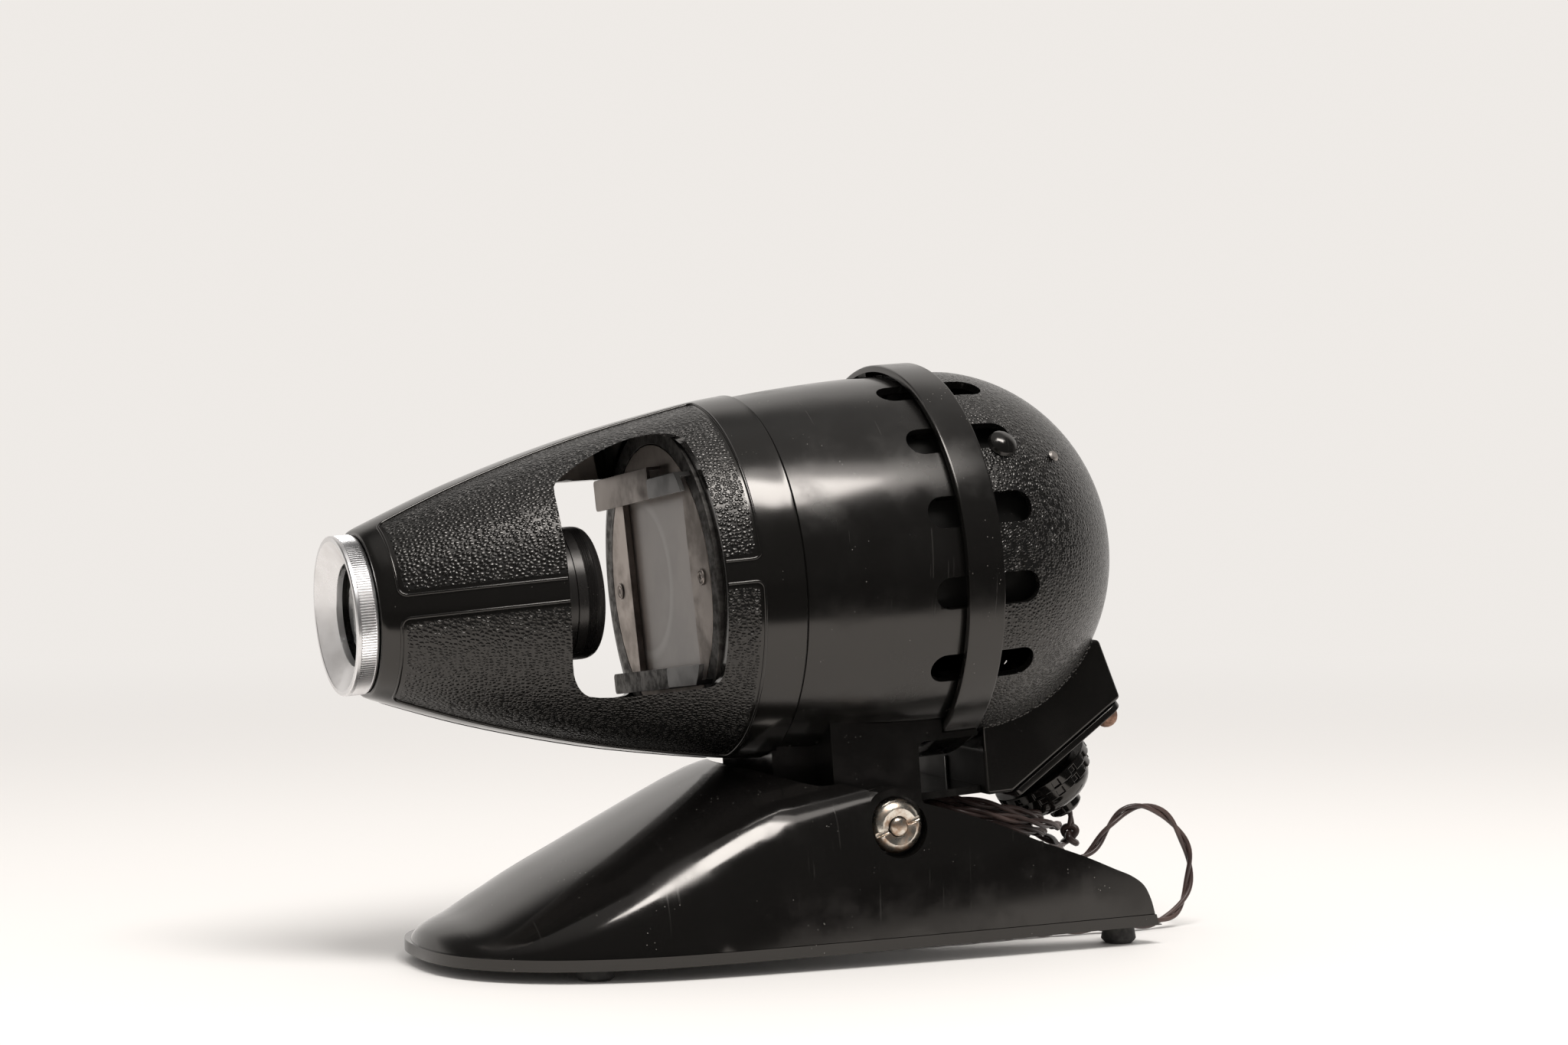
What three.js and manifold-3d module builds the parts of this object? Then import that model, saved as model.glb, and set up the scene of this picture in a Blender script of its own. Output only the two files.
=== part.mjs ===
// Slide projector with a boat-shaped base, a tilting round lamp house and a cone-shaped nose.
// Millimetres, +Z up, the lens looks towards -X. Head pieces are drawn along their optical axis
// (x runs rearwards from the lens, z is up from the axis) inside a group that is tilted as a whole.
import * as THREE from "three";
import { mergeVertices } from "three/addons/utils/BufferGeometryUtils.js";
import Module from "manifold-3d";

const wasm = await Module();
wasm.setup();

// General fits
const fitGap = 0.3;
const overrun = 4;
const weldDistance = 0.0005;
const degrees = Math.PI / 180;

// Facets round a turned piece
const shellSides = 40;
const ringSides = 48;
const boreSides = 32;
const pieceSides = 24;
const rodSides = 20;
const smallSides = 16;
const tinySides = 10;
const cordSides = 6;

// Optical axis of the head at rest, and the barrel's radius that it clears the base with
const headTilt = 4.3 * degrees;
const barrelFrontRadius = 57.9;
const axisClearance = 53.1;
const lensFaceHeight = barrelFrontRadius + axisClearance;

// Pivot between base and head
const pivotX = 169.9;
const pivotHeight = 43.4;
const pivotRodRadius = 3;

// Base moulding
const baseFrontX = 26.4;
const baseRearX = 266;
const baseWall = 4;
const baseHalfWidth = 57;
const baseRearHalfWidth = 42;
const widestX = 100;
const lipFrontHeight = 3.5;
const lipRearHeight = 6.5;
const lipDepth = 3.6;
const lipStandout = 0.8;
const crestX = 129;
const crestHeight = 60.9;
const troughFrontX = 128.5;
const troughShoulderX = 150;
const troughHalfWidth = 40.5;
const cheekTopRise = 0.2;
const cheekCorner = [[10, 22.9], [5.4, 19.6], [2.7, 14.8], [1.2, 9.9], [0.3, 6.9]];
const bossInnerHalfGap = 38.4;
const bossRadius = 12;
const nutSeatHalfWidth = 46.4;
const nutRecessRadius = 9.7;
const nutRecessDepth = 2.6;
const nutLength = 5;
const nutRadius = 8.7;
const nutShoulderShare = 0.88;
const nutTopShare = 0.68;
const nutSlotWidth = 1.4;
const nutSlotDepth = 1.6;
const nutTurn = 20;
const rodEndRadius = 3.5;

// Feet
const footRadius = 5.8;
const footInset = 10;
const footFrontX = 70;
const footRearSetback = 10.2;
const footRearX = baseRearX - footRearSetback;
const footBossRadius = 5.2;
const footBossHeight = 12;
const footWeb = 4;

// Nose shell
const noseFront = 7.3;
const noseBack = 134.5;
const noseWall = 3.4;
const noseFrontRadius = 26.3;
const noseStandout = 1;
const noseBackRadius = barrelFrontRadius + noseStandout;
const noseSwellShares = [[0.25708, 0.3681], [0.55582, 0.69632], [0.86242, 0.93252]];
const lensBushBack = 46;

// Side windows of the nose; the far one ends lower at the top
const farWindowTop = 37.4;
const windowOutline = [[62, 2], [62, -23], [65, -31], [71, -34.6], [104, -34.8], [108, -33.5], [109.4, -29],
  [109.4, 40], [107.6, 46.4], [95, 46.6], [80, 41.8], [66.5, 34.6], [63.6, 31]];

// Lens
const lensTubeRadius = 21.2;
const lensTubeWall = 1.8;
const lensTubeBack = 82;
const lensRingRadius = 25;
const lensRingLength = 6.9;
const focusPitch = 5;
const focusGrooveDepth = 0.7;
const focusGrooveWidth = 1.2;
const ringRimWidth = 0.8;
const ringRimLand = 0.8;
const ringDishFloor = 2;
const ringApertureInset = 3.4;
const knurlCount = 48;
const knurlDepth = 0.45;
const elementEdge = 3;
const elementDeepSag = 2.4;
const elementSlightSag = 1;
const rearElementInset = 12;
const retainerInset = 8;
const retainerLength = 3;
const retainerWidth = 2.5;

// Slide stage
const stageFace = 108;
const stageRadius = 45;
const stageThickness = 2.2;
const stageWindow = 56;
const noseRoll = 6 * degrees;
const railInner = 27;
const railTopLip = 10.2;
const railBottomLip = 6.6;
const railCorner = 1.5;
const railStandoff = 4;
const railSheet = 1;
const railHalfLength = 43;
const railFarEnd = 40.5;
const railSplit = -12;
const clipSheet = 1.6;
const clipDepth = 6.4;
const seatLength = 6;
const stageScrewInset = 7;
const stageScrewHeight = 1.4;
const stageScrewEdge = 0.2;
const stageScrewTopRadius = 1.6;
const stageScrewRadius = 2.6;

// Condenser and heat glass
const heatGlassSize = 58;
const heatGlassThickness = 2;
const condenserRadius = 31;
const condenserWall = 2;
const condenserLensDepth = 12;
const condenserSag = 9;
const condenserClearance = 1;
const condenserFlangeOverlap = 3;

// Lamp-house barrel, rear cap and band
const shellWall = 2.5;
const barrelFlare = 3.4;
const barrelBackRadius = barrelFrontRadius + barrelFlare;
const barrelBulge = 0.85;
const seamStation = 193.4;
const capStandout = 0.3;
const capRadius = barrelBackRadius + capStandout;
const domeCentre = 203;
const domeFlattening = 0.955;
const spigotLength = 10;
const spigotEase = 0.2;
const bandFront = 187;
const bandBack = 199.7;
const bandStandoff = 1.2;
const bandThickness = 2.1;
const bandInnerRadius = capRadius + bandStandoff;
const bandOuterRadius = bandInnerRadius + bandThickness;
const bandPostWidth = 6;
const bandPostInset = 2;
const slotFront = 177.3;
const slotBack = 213.6;
const slotWidth = 10.3;
const slotStep = 24.2 * degrees;
const slotsEachSide = 5;

// Chute under the rear cap
const chuteHalfWidth = 30;
const chuteFront = 204.5;
const chuteDrop = 14.9;
const chuteRearRise = 11.7;
const chuteTopRise = 31.6;
const chuteBottom = -capRadius - chuteDrop;
const chuteHeel = 213.8;
const chuteRear = 255.2;
const chuteRearBottom = chuteRearRise - capRadius;
const chuteRearTop = chuteTopRise - capRadius;
const chuteRearLean = 6.5;
const chuteCorners = [1, 2, 5, 2, 0];
const throatHeelEase = 1;
const throatRearEase = 1.5;
const throatRearRise = 4;
const throatTopDrop = 2;
const coverThickness = 2.4;
const coverMargin = 0.4;
const coverCorners = [2, 2, 6, 6];
const coverScrewRadius = 3.9;
const coverScrewStandout = 4.6;
const coverScrewSide = -23.5;
const coverScrewUpSlope = 19;

// Pivot saddle under the barrel
const saddleFront = 148;
const saddleBack = 178;
const saddleHalfWidth = 37;
const saddlePlate = 5;
const saddleFlangeBack = 199;
const saddleFlangeUnderBand = 2.3;
const saddleCorner = 3;
const pedestalFront = 133.4;
const pedestalHalfWidth = 22;
const pedestalDepth = 11;
const legRadius = 14.6;
const tongueHalfWidth = 26;
const tongueThickness = 2.4;
const tongueLift = 0.5;
const saddleOverlap = 4;
const bridgeOverlap = 2;
const bridgeDrop = 2;
const pedestalCorner = 3;
const saddleTubeWall = 3;

// Lampholder on the cover plate
const holderOffset = -2.7;
const holderSleeveRadius = 14;
const holderRingRadius = 17.5;
const holderRingStep = 1.6;
const holderRingLength = 3.4;
const holderRingStart = 10.8;
const holderDomeRadius = 14.2;
const holderDomeLength = 6.4;
const holderNeckRadius = 6;
const holderNeckLength = 4;
const holderBore = 2.2;
const holderWall = 1;
const holderEdge = 1;
const holderFlangeReach = 1.5;
const holderFlangeThickness = 2;
const holderDomeShare = 0.86;
const ringNotches = 14;
const notchWidth = 2.6;
const notchDepth = 1.6;
const notchFloor = 0.9;

// Lamp and reflector
const bulbRadius = 15.5;
const bulbStart = 24;
const bulbLength = 72;
const bulbShoulder = 6;
const lampCapRadius = 12.6;
const lampCapWall = 1;
const lampCapClearance = 1.2;
const reflectorStation = 229;
const reflectorRadius = 20;
const reflectorSphere = 42;
const reflectorThickness = 1.2;

// Catch buttons and reflector rivets
const catchStation = 209;
const catchAngle = 37.6 * degrees;
const catchRadius = 4.9;
const catchStem = 2.4;
const catchStandout = 3.2;
const catchTravel = 1.2;
const catchReach = 3;
const catchDomeShares = [[0.4, 0.92], [0.8, 0.6], [1, 0]];
const rivetStation = 228;
const rivetAngle = 34.9 * degrees;
const rivetRadius = 1.9;
const rivetReach = 1;
const rivetHeight = 0.7;
const rivetTopShare = 0.7;
const strapWidth = 7;
const strapThickness = 1.2;

// Lead
const cordDiameter = 3.1;
const leadLean = 0.4;
const hankLoopsPerLayer = 3;
const hankLayers = 3;
const hankLayerPitch = 3.9;
const hankLoopPitch = 3.9;
const hankOuterRadius = 25;
const hankHalfRun = 4.6;
const hankSlope = 10.4 * degrees;
const hankStepsPerLoop = 18;
const hankClimbShare = 0.25;
const hankCentre = [217.6, 0, 37.3];
const knotX = 254.6;
const knotHeight = 31.6;
const knotUnit = 1.1;
const knotCordDiameter = 2.3;
const knotDepth = 1.6;
const knotArcs = 6;
const knotArcSteps = 5;
const knotArcShare = 1.12;
const knotHeart = 2.6;
const tailLoop = [[259.1, -5, 26], [266.3, -5, 34.2], [272.3, -5, 39.6], [279, -5, 41.2], [287.2, -5, 38.5],
  [293.5, -5, 31.7], [296.6, -5.5, 25.3], [297, -6, 18], [295, -7, 10.7], [290, -8.5, 5], [282, -10, 2.4]];
const floorRun = [[270, -12, 1.9], [255, -13, 1.9], [230, -15, 1.9], [195, -20, 1.9], [160, -18, 1.9],
  [135, -8, 2.5]];
const tailStartShares = [[0, -1.4, -1.3], [0.8, -1.8, -2.2]];
const tailDropShares = [3.5, -2.6];
const plugEntryShares = [[3, -0.6], [1.2, 0]];
const tailSteps = 64;
const plugRadius = 14;
const plugBackX = 112;
const plugLength = 38;
const plugPinRadius = 2;
const plugPinLength = 19;
const plugPinSpacing = 19;
const plugEdge = 1;
const plugWaistShare = 0.8;
const plugNeckShare = 0.36;
const plugEntryShare = 0.3;

const finishes = {
  bakelite: { color: 0x0b0b0b, roughness: 0.28, metalness: 0 },
  grained: { color: 0x0d0d0d, roughness: 0.45, metalness: 0 },
  rubber: { color: 0x101010, roughness: 0.8, metalness: 0 },
  aluminium: { color: 0xc9c9c6, roughness: 0.35, metalness: 1 },
  nickel: { color: 0xb59f83, roughness: 0.3, metalness: 1 },
  steel: { color: 0x77726c, roughness: 0.4, metalness: 1 },
  blackMetal: { color: 0x141312, roughness: 0.4, metalness: 0.4 },
  glass: { color: 0xc8d0cc, roughness: 0.05, metalness: 0, transparent: true, opacity: 0.4 },
  brass: { color: 0xb0894f, roughness: 0.35, metalness: 1 },
  mirror: { color: 0xe0e0e0, roughness: 0.05, metalness: 1 },
  cord: { color: 0x3a2622, roughness: 0.6, metalness: 0 },
};
const material = Object.fromEntries(
  Object.entries(finishes).map(([name, finish]) => [name, new THREE.MeshStandardMaterial(finish)]),
);

// Solids: every geometry is welded, turned right side out and handed to the cutting library
function solidOf(geometry) {
  const bare = geometry.clone();
  bare.deleteAttribute("normal");
  bare.deleteAttribute("uv");
  const welded = mergeVertices(bare, weldDistance);
  const points = welded.attributes.position.array;
  const faces = welded.index.array;
  const kept = [];
  let volume = 0;
  const a = new THREE.Vector3();
  const b = new THREE.Vector3();
  const c = new THREE.Vector3();
  for (let i = 0; i < faces.length; i += 3) {
    const [p, q, r] = [faces[i], faces[i + 1], faces[i + 2]];
    if (p === q || q === r || r === p) continue;
    kept.push(p, q, r);
    a.fromArray(points, 3 * p);
    b.fromArray(points, 3 * q);
    c.fromArray(points, 3 * r);
    volume += a.dot(b.cross(c));
  }
  const triVerts = Uint32Array.from(volume < 0 ? kept.reverse() : kept);
  return new wasm.Manifold(new wasm.Mesh({ numProp: 3, vertProperties: Float32Array.from(points), triVerts }));
}

const join = (...parts) => parts.reduce((sum, part) => sum.add(part));
const cut = (stock, ...tools) => tools.reduce((left, tool) => left.subtract(tool), stock);

function addPiece(group, name, solid, finish) {
  const { vertProperties, triVerts } = solid.getMesh();
  const geometry = new THREE.BufferGeometry();
  geometry.setAttribute("position", new THREE.BufferAttribute(vertProperties, 3));
  geometry.setIndex(new THREE.BufferAttribute(triVerts, 1));
  geometry.computeVertexNormals();
  const mesh = new THREE.Mesh(geometry, material[finish]);
  mesh.name = name;
  group.add(mesh);
}

// A profile of [station, radius] pairs turned round the X axis
function turned(profile, sides = pieceSides) {
  const points = profile.map(([station, radius]) => new THREE.Vector2(radius, station));
  return new THREE.LatheGeometry(points, sides).rotateZ(-Math.PI / 2);
}
const turnedSolid = (profile, sides) => solidOf(turned(profile, sides));
const ring = (front, back, inner, outer, sides) =>
  turnedSolid([[front, inner], [front, outer], [back, outer], [back, inner], [front, inner]], sides);
const disc = (front, back, radius, sides) =>
  turnedSolid([[front, 0], [front, radius], [back, radius], [back, 0]], sides);

function shapeOf(points) {
  return new THREE.Shape(points.map(([u, v]) => new THREE.Vector2(u, v)));
}
// A closed outline with its corners rounded by an arc each
function rounded(points, radii) {
  const shape = new THREE.Shape();
  points.forEach(([u, v], i) => {
    const [pu, pv] = points[(i + points.length - 1) % points.length];
    const [nu, nv] = points[(i + 1) % points.length];
    const radius = Array.isArray(radii) ? radii[i] : radii;
    const corner = new THREE.Vector2(u, v);
    const into = new THREE.Vector2(u - pu, v - pv).normalize();
    const out = new THREE.Vector2(nu - u, nv - v).normalize();
    const turn = Math.acos(THREE.MathUtils.clamp(into.dot(out), -1, 1));
    const setback = radius * Math.tan(turn / 2);
    const start = corner.clone().addScaledVector(into, -setback);
    const end = corner.clone().addScaledVector(out, setback);
    if (i === 0) shape.moveTo(start.x, start.y);
    else shape.lineTo(start.x, start.y);
    if (radius > 0) shape.quadraticCurveTo(corner.x, corner.y, end.x, end.y);
  });
  shape.closePath();
  return shape;
}
const cornerSteps = 6;
const extruded = (shape, depth, curveSegments = cornerSteps) =>
  new THREE.ExtrudeGeometry(shape, { depth, bevelEnabled: false, curveSegments });
// An outline in x and z, extruded along y between two places
const alongY = (shape, low, high, curveSegments) =>
  extruded(shape, high - low, curveSegments).rotateX(Math.PI / 2).translate(0, high, 0);
// An outline in x and y, extruded along z
const alongZ = (shape, low, high, curveSegments) =>
  extruded(shape, high - low, curveSegments).translate(0, 0, low);
// An outline in y and z, extruded along x
const alongX = (shape, low, high, curveSegments) =>
  extruded(shape, high - low, curveSegments).rotateY(Math.PI / 2).rotateX(Math.PI / 2).translate(low, 0, 0);
const box = (x0, x1, y0, y1, z0, z1) =>
  solidOf(alongZ(shapeOf([[x0, y0], [x1, y0], [x1, y1], [x0, y1]]), z0, z1));
const rectangle = (halfU, halfV) => [[-halfU, -halfV], [halfU, -halfV], [halfU, halfV], [-halfU, halfV]];

// The head group carries everything on the optical axis
const projector = new THREE.Group();
const baseGroup = new THREE.Group();
const headGroup = new THREE.Group();
headGroup.position.z = lensFaceHeight;
headGroup.rotation.y = -headTilt;
projector.add(baseGroup, headGroup);
// The nose, its lens and the slide stage stand turned a little on the lamp house
const noseGroup = new THREE.Group();
noseGroup.rotation.x = -noseRoll;
headGroup.add(noseGroup);

const toHead = (x, height) => {
  const rise = height - lensFaceHeight;
  return [
    x * Math.cos(headTilt) + rise * Math.sin(headTilt),
    rise * Math.cos(headTilt) - x * Math.sin(headTilt),
  ];
};
const toWorld = (station, rise) => [
  station * Math.cos(headTilt) - rise * Math.sin(headTilt),
  lensFaceHeight + station * Math.sin(headTilt) + rise * Math.cos(headTilt),
];
const [pivotStation, pivotRise] = toHead(pivotX, pivotHeight);

// Base: half widths, spine and cheek edge along x
const baseLength = baseRearX - baseFrontX;
const lipHeightAt = (x) =>
  lipFrontHeight + ((lipRearHeight - lipFrontHeight) * (x - baseFrontX)) / baseLength;
const noseBluntness = 2.2;
const noseFullness = 2.5;
const tailTaper = 1.4;
function halfWidthAt(x) {
  if (x < widestX) {
    const share = (widestX - x) / (widestX - baseFrontX);
    const narrowing = Math.pow(share, noseBluntness);
    return baseHalfWidth * Math.pow(Math.max(0, 1 - narrowing), 1 / noseFullness);
  }
  const share = (x - widestX) / (baseRearX - widestX);
  return baseHalfWidth - (baseHalfWidth - baseRearHalfWidth) * Math.pow(share, tailTaper);
}
// The spine's height above the lip at the tip, as shares of the run to the crest and of the climb
const spineShares = [[0, 0], [0.012, 0.045], [0.03, 0.085], [0.07, 0.125], [0.145, 0.175], [0.265, 0.298],
  [0.375, 0.415], [0.527, 0.56], [0.683, 0.712], [0.834, 0.856], [0.931, 0.944], [1, 1]];
function fromTable(table, at) {
  const next = Math.max(1, table.findIndex(([x]) => x >= at));
  const [[x0, y0], [x1, y1]] = [table[next - 1], table[next]];
  return y0 + ((y1 - y0) * (at - x0)) / (x1 - x0);
}
function spineAt(x) {
  const tip = lipFrontHeight + lipDepth;
  if (x > crestX) return crestHeight + cheekTopRise * (x - crestX);
  const share = THREE.MathUtils.clamp((x - baseFrontX) / (crestX - baseFrontX), 0, 1);
  return tip + (crestHeight - tip) * fromTable(spineShares, share);
}
const sideLean = 0.06;
const hullSides = 20;
const shoulderFirmness = 3.2;
const sideFirmness = 0.4;
const sideSoftness = 2.1;
const leastHalfWidth = 0.05;
function hullRing(x, inset, floor, sides) {
  const share = THREE.MathUtils.clamp((x - baseFrontX) / (crestX - baseFrontX), 0, 1);
  const shoulder = 2 + shoulderFirmness * share * share;
  const side = sideSoftness + sideFirmness * share;
  const halfWidth = Math.max(halfWidthAt(x) - inset, leastHalfWidth);
  const bottom = lipHeightAt(x);
  const height = Math.max(spineAt(x) - inset - bottom, leastHalfWidth);
  const points = [];
  for (let i = 0; i <= sides; i += 1) {
    const turn = (Math.PI * i) / sides;
    const c = Math.cos(turn);
    const s = Math.sin(turn);
    const y = Math.sign(c) * Math.pow(Math.abs(c), 2 / side);
    const z = Math.pow(s, 2 / shoulder);
    points.push([x, halfWidth * y * (1 - sideLean * z), bottom + height * z]);
  }
  points.push([x, -halfWidth, floor]);
  points.push([x, halfWidth, floor]);
  return points;
}
// Rings of equal count, skinned and closed at both ends
function lofted(rings) {
  const count = rings[0].length;
  const positions = rings.flat(2);
  const index = [];
  for (let i = 0; i < rings.length - 1; i += 1) {
    for (let j = 0; j < count; j += 1) {
      const a = i * count + j;
      const b = i * count + ((j + 1) % count);
      index.push(a, b, a + count, b, b + count, a + count);
    }
  }
  const last = (rings.length - 1) * count;
  for (let j = 1; j < count - 1; j += 1) {
    index.push(0, j + 1, j, last, last + j, last + j + 1);
  }
  const geometry = new THREE.BufferGeometry();
  geometry.setAttribute("position", new THREE.Float32BufferAttribute(positions, 3));
  geometry.setIndex(index);
  return geometry;
}
const hullStationShares = [0, 0.004, 0.012, 0.03, 0.06, 0.11, 0.17, 0.23, 0.29, 0.36, 0.41, 0.46, 0.52, 0.6,
  0.7, 0.8, 0.9, 1];
function hull(inset, frontX, rearX, floor) {
  const coarse = hullStationShares.filter((share, i) => i % 2 === 0 || share === 1);
  const shares = inset > 0 ? coarse : hullStationShares;
  const sides = inset > 0 ? hullSides / 2 : hullSides;
  return lofted(shares.map((share) => hullRing(frontX + share * (rearX - frontX), inset, floor, sides)));
}

// The cheeks' top edge, as shares of the run from crest to rear end and of the crest's height
const cheekEdgeShares = [[0, 1.01], [0.05, 0.985], [0.12, 0.965], [0.215, 0.912], [0.357, 0.833],
  [0.525, 0.725], [0.67, 0.597], [0.8, 0.494], [0.88, 0.42]];
const cheekRun = baseRearX - crestX;
const cheekEdge = cheekEdgeShares.map(([along, up]) => [crestX + along * cheekRun, up * crestHeight]);

function makeBase() {
  const floor = lipFrontHeight - overrun;
  const outer = solidOf(hull(0, baseFrontX, baseRearX, floor));
  const lipOutline = [];
  const lipSteps = 24;
  for (let i = 0; i <= lipSteps; i += 1) {
    const share = Math.pow(i / lipSteps, 2);
    const x = baseFrontX - lipStandout + share * (baseRearX + lipStandout - baseFrontX);
    const at = THREE.MathUtils.clamp(x + lipStandout * (1 - share), baseFrontX, baseRearX);
    lipOutline.push([x, i === 0 ? 0 : halfWidthAt(at) + lipStandout]);
  }
  const mirrored = lipOutline.slice(1).reverse().map(([x, y]) => [x, -y]);
  const lipShape = shapeOf([...mirrored, ...lipOutline]);
  const lipTopShape = shapeOf([
    [baseFrontX - overrun, lipFrontHeight], [baseRearX + overrun, lipRearHeight],
    [baseRearX + overrun, lipRearHeight + lipDepth], [baseFrontX - overrun, lipFrontHeight + lipDepth],
  ]);
  const lipBand = solidOf(alongY(lipTopShape, -2 * baseHalfWidth, 2 * baseHalfWidth));
  const lip = solidOf(alongZ(lipShape, floor, 2 * lipRearHeight + lipDepth)).intersect(lipBand);
  const inner = solidOf(hull(baseWall, baseFrontX + baseWall, baseRearX + overrun, floor - overrun));
  const underside = solidOf(alongY(shapeOf([
    [baseFrontX - overrun, floor - overrun], [baseRearX + overrun, floor - overrun],
    [baseRearX + overrun, lipRearHeight], [baseFrontX - overrun, lipFrontHeight],
  ]), -2 * baseHalfWidth, 2 * baseHalfWidth));
  const sky = 2 * crestHeight;
  const cheekShape = new THREE.Shape();
  cheekShape.moveTo(crestX, sky);
  cheekEdge.forEach(([x, z]) => cheekShape.lineTo(x, z));
  cheekCorner.forEach(([back, z]) => cheekShape.lineTo(baseRearX - back, z));
  cheekShape.lineTo(baseRearX + overrun, lipRearHeight);
  cheekShape.lineTo(baseRearX + overrun, sky);
  cheekShape.closePath();
  const cheekCut = solidOf(alongY(cheekShape, -2 * baseHalfWidth, 2 * baseHalfWidth));
  const trough = new THREE.Shape();
  trough.moveTo(baseRearX + overrun, -baseRearHalfWidth + baseWall);
  trough.lineTo(troughShoulderX, -troughHalfWidth);
  trough.absellipse(troughShoulderX, 0, troughShoulderX - troughFrontX, troughHalfWidth,
    -Math.PI / 2, Math.PI / 2, true);
  trough.lineTo(baseRearX + overrun, baseRearHalfWidth - baseWall);
  trough.closePath();
  const troughCut = solidOf(alongZ(trough, lipRearHeight + lipDepth, sky, 2 * cornerSteps));

  let shell = cut(join(outer, lip), inner, cheekCut, troughCut);
  for (const side of [-1, 1]) {
    const pivotBoss = disc(bossInnerHalfGap, nutSeatHalfWidth, bossRadius, pieceSides)
      .rotate([0, 0, 90 * side]).translate([pivotX, 0, pivotHeight]);
    shell = join(shell, pivotBoss);
    for (const x of [footFrontX, footRearX]) {
      const y = halfWidthAt(x) - footInset;
      const boss = disc(lipHeightAt(x), footBossHeight, footBossRadius, smallSides)
        .rotate([0, -90, 0]).translate([x, y * side, 0]);
      const wallAt = halfWidthAt(x) - baseWall / 2;
      const web = box(x - footWeb / 2, x + footWeb / 2, y * side, wallAt * side, lipHeightAt(x), footBossHeight);
      shell = join(shell, boss, web);
    }
  }
  shell = cut(shell, underside);
  for (const side of [-1, 1]) {
    const recess = disc(nutSeatHalfWidth - nutRecessDepth, 2 * baseHalfWidth, nutRecessRadius, boreSides)
      .rotate([0, 0, 90 * side]).translate([pivotX, 0, pivotHeight]);
    shell = cut(shell, recess);
  }
  const bore = disc(-2 * baseHalfWidth, 2 * baseHalfWidth, pivotRodRadius + fitGap, rodSides)
    .rotate([0, 0, 90]).translate([pivotX, 0, pivotHeight]);
  addPiece(baseGroup, "base_shell", cut(shell, bore), "bakelite");
}

function makeFeet() {
  for (const [where, x] of [["front", footFrontX], ["rear", footRearX]]) {
    const y = halfWidthAt(x) - footInset;
    for (const [hand, side] of [["near", -1], ["far", 1]]) {
      const height = lipHeightAt(x) - fitGap;
      const edge = height / 4;
      const foot = turnedSolid([[0, 0], [0, footRadius - edge], [edge, footRadius], [height, footRadius - edge / 2],
        [height, 0]], smallSides).rotate([0, -90, 0]).translate([x, y * side, 0]);
      addPiece(baseGroup, `foot_${where}_${hand}`, foot, "rubber");
    }
  }
}

// Pivot rod, slotted nuts and washers, all across the base
const nutInner = nutSeatHalfWidth - nutRecessDepth + fitGap;
const nutOuter = nutInner + nutLength;
function makePivot() {
  const rodHalf = nutOuter - fitGap;
  const rod = turnedSolid([[-rodHalf, 0], [-rodHalf, pivotRodRadius], [rodHalf, pivotRodRadius], [rodHalf, 0]],
    rodSides).rotate([0, 0, 90]).translate([pivotX, 0, pivotHeight]);
  addPiece(baseGroup, "pivot_rod", rod, "steel");
  const bore = pivotRodRadius + fitGap;
  for (const [hand, side] of [["near", -1], ["far", 1]]) {
    const crown = nutLength / 2;
    const shoulder = nutOuter - crown / 3;
    const profile = [[nutInner, bore], [nutInner, nutRadius], [nutInner + crown, nutRadius],
      [shoulder, nutShoulderShare * nutRadius], [nutOuter, nutTopShare * nutRadius],
      [shoulder, rodEndRadius + fitGap], [shoulder, bore], [nutInner, bore]];
    const slot = box(nutOuter - nutSlotDepth, nutOuter + overrun, -2 * nutRadius, 2 * nutRadius,
      -nutSlotWidth / 2, nutSlotWidth / 2);
    const nut = cut(turnedSolid(profile, rodSides), slot)
      .rotate([side * nutTurn, 0, 90 * side]).translate([pivotX, 0, pivotHeight]);
    addPiece(baseGroup, `pivot_nut_${hand}`, nut, "nickel");
    const washer = ring(saddleHalfWidth + fitGap, bossInnerHalfGap - fitGap, bore, bossRadius - fitGap,
      smallSides).rotate([0, 0, 90 * side]).translate([pivotX, 0, pivotHeight]);
    addPiece(baseGroup, `pivot_washer_${hand}`, washer, "steel");
  }
}

// Nose shell: outer and inner radius along the axis, with windows cut straight through
const noseKnots = [[0, 0], ...noseSwellShares, [1, 1]].map(([along, out]) => new THREE.Vector2(
  noseFront + along * (noseBack - noseFront),
  noseFrontRadius + out * (noseBackRadius - noseFrontRadius),
));
const nosePoints = new THREE.SplineCurve(noseKnots).getPoints(8);
function noseRadiusAt(station) {
  for (let i = 1; i < nosePoints.length; i += 1) {
    if (station <= nosePoints[i].x) {
      const share = (station - nosePoints[i - 1].x) / (nosePoints[i].x - nosePoints[i - 1].x);
      return nosePoints[i - 1].y + share * (nosePoints[i].y - nosePoints[i - 1].y);
    }
  }
  return noseBackRadius;
}
function makeNose() {
  const bushRadius = lensTubeRadius + fitGap;
  const outline = nosePoints.map(({ x, y }) => [x, y]);
  const inside = nosePoints.filter(({ x }, i) => x > noseFront + noseWall && i % 2 === 0).reverse()
    .map(({ x, y }) => [x, y - noseWall]);
  const profile = [[noseFront, bushRadius], ...outline, [noseBack, inside[0][1]], ...inside,
    [noseFront + noseWall, bushRadius], [noseFront, bushRadius]];
  const shell = turnedSolid(profile, shellSides);
  const bush = ring(noseFront + noseWall / 2, lensBushBack, bushRadius, bushRadius + 2 * lensTubeWall, shellSides);
  const nearCut = solidOf(alongY(shapeOf(windowOutline), -2 * noseBackRadius, 0));
  const farOutline = windowOutline.map(([s, n]) => [s, Math.min(n, farWindowTop)]);
  const farCut = solidOf(alongY(shapeOf(farOutline), 0, 2 * noseBackRadius));
  addPiece(noseGroup, "nose_shell", cut(join(shell, bush), nearCut, farCut), "grained");
}

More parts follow.
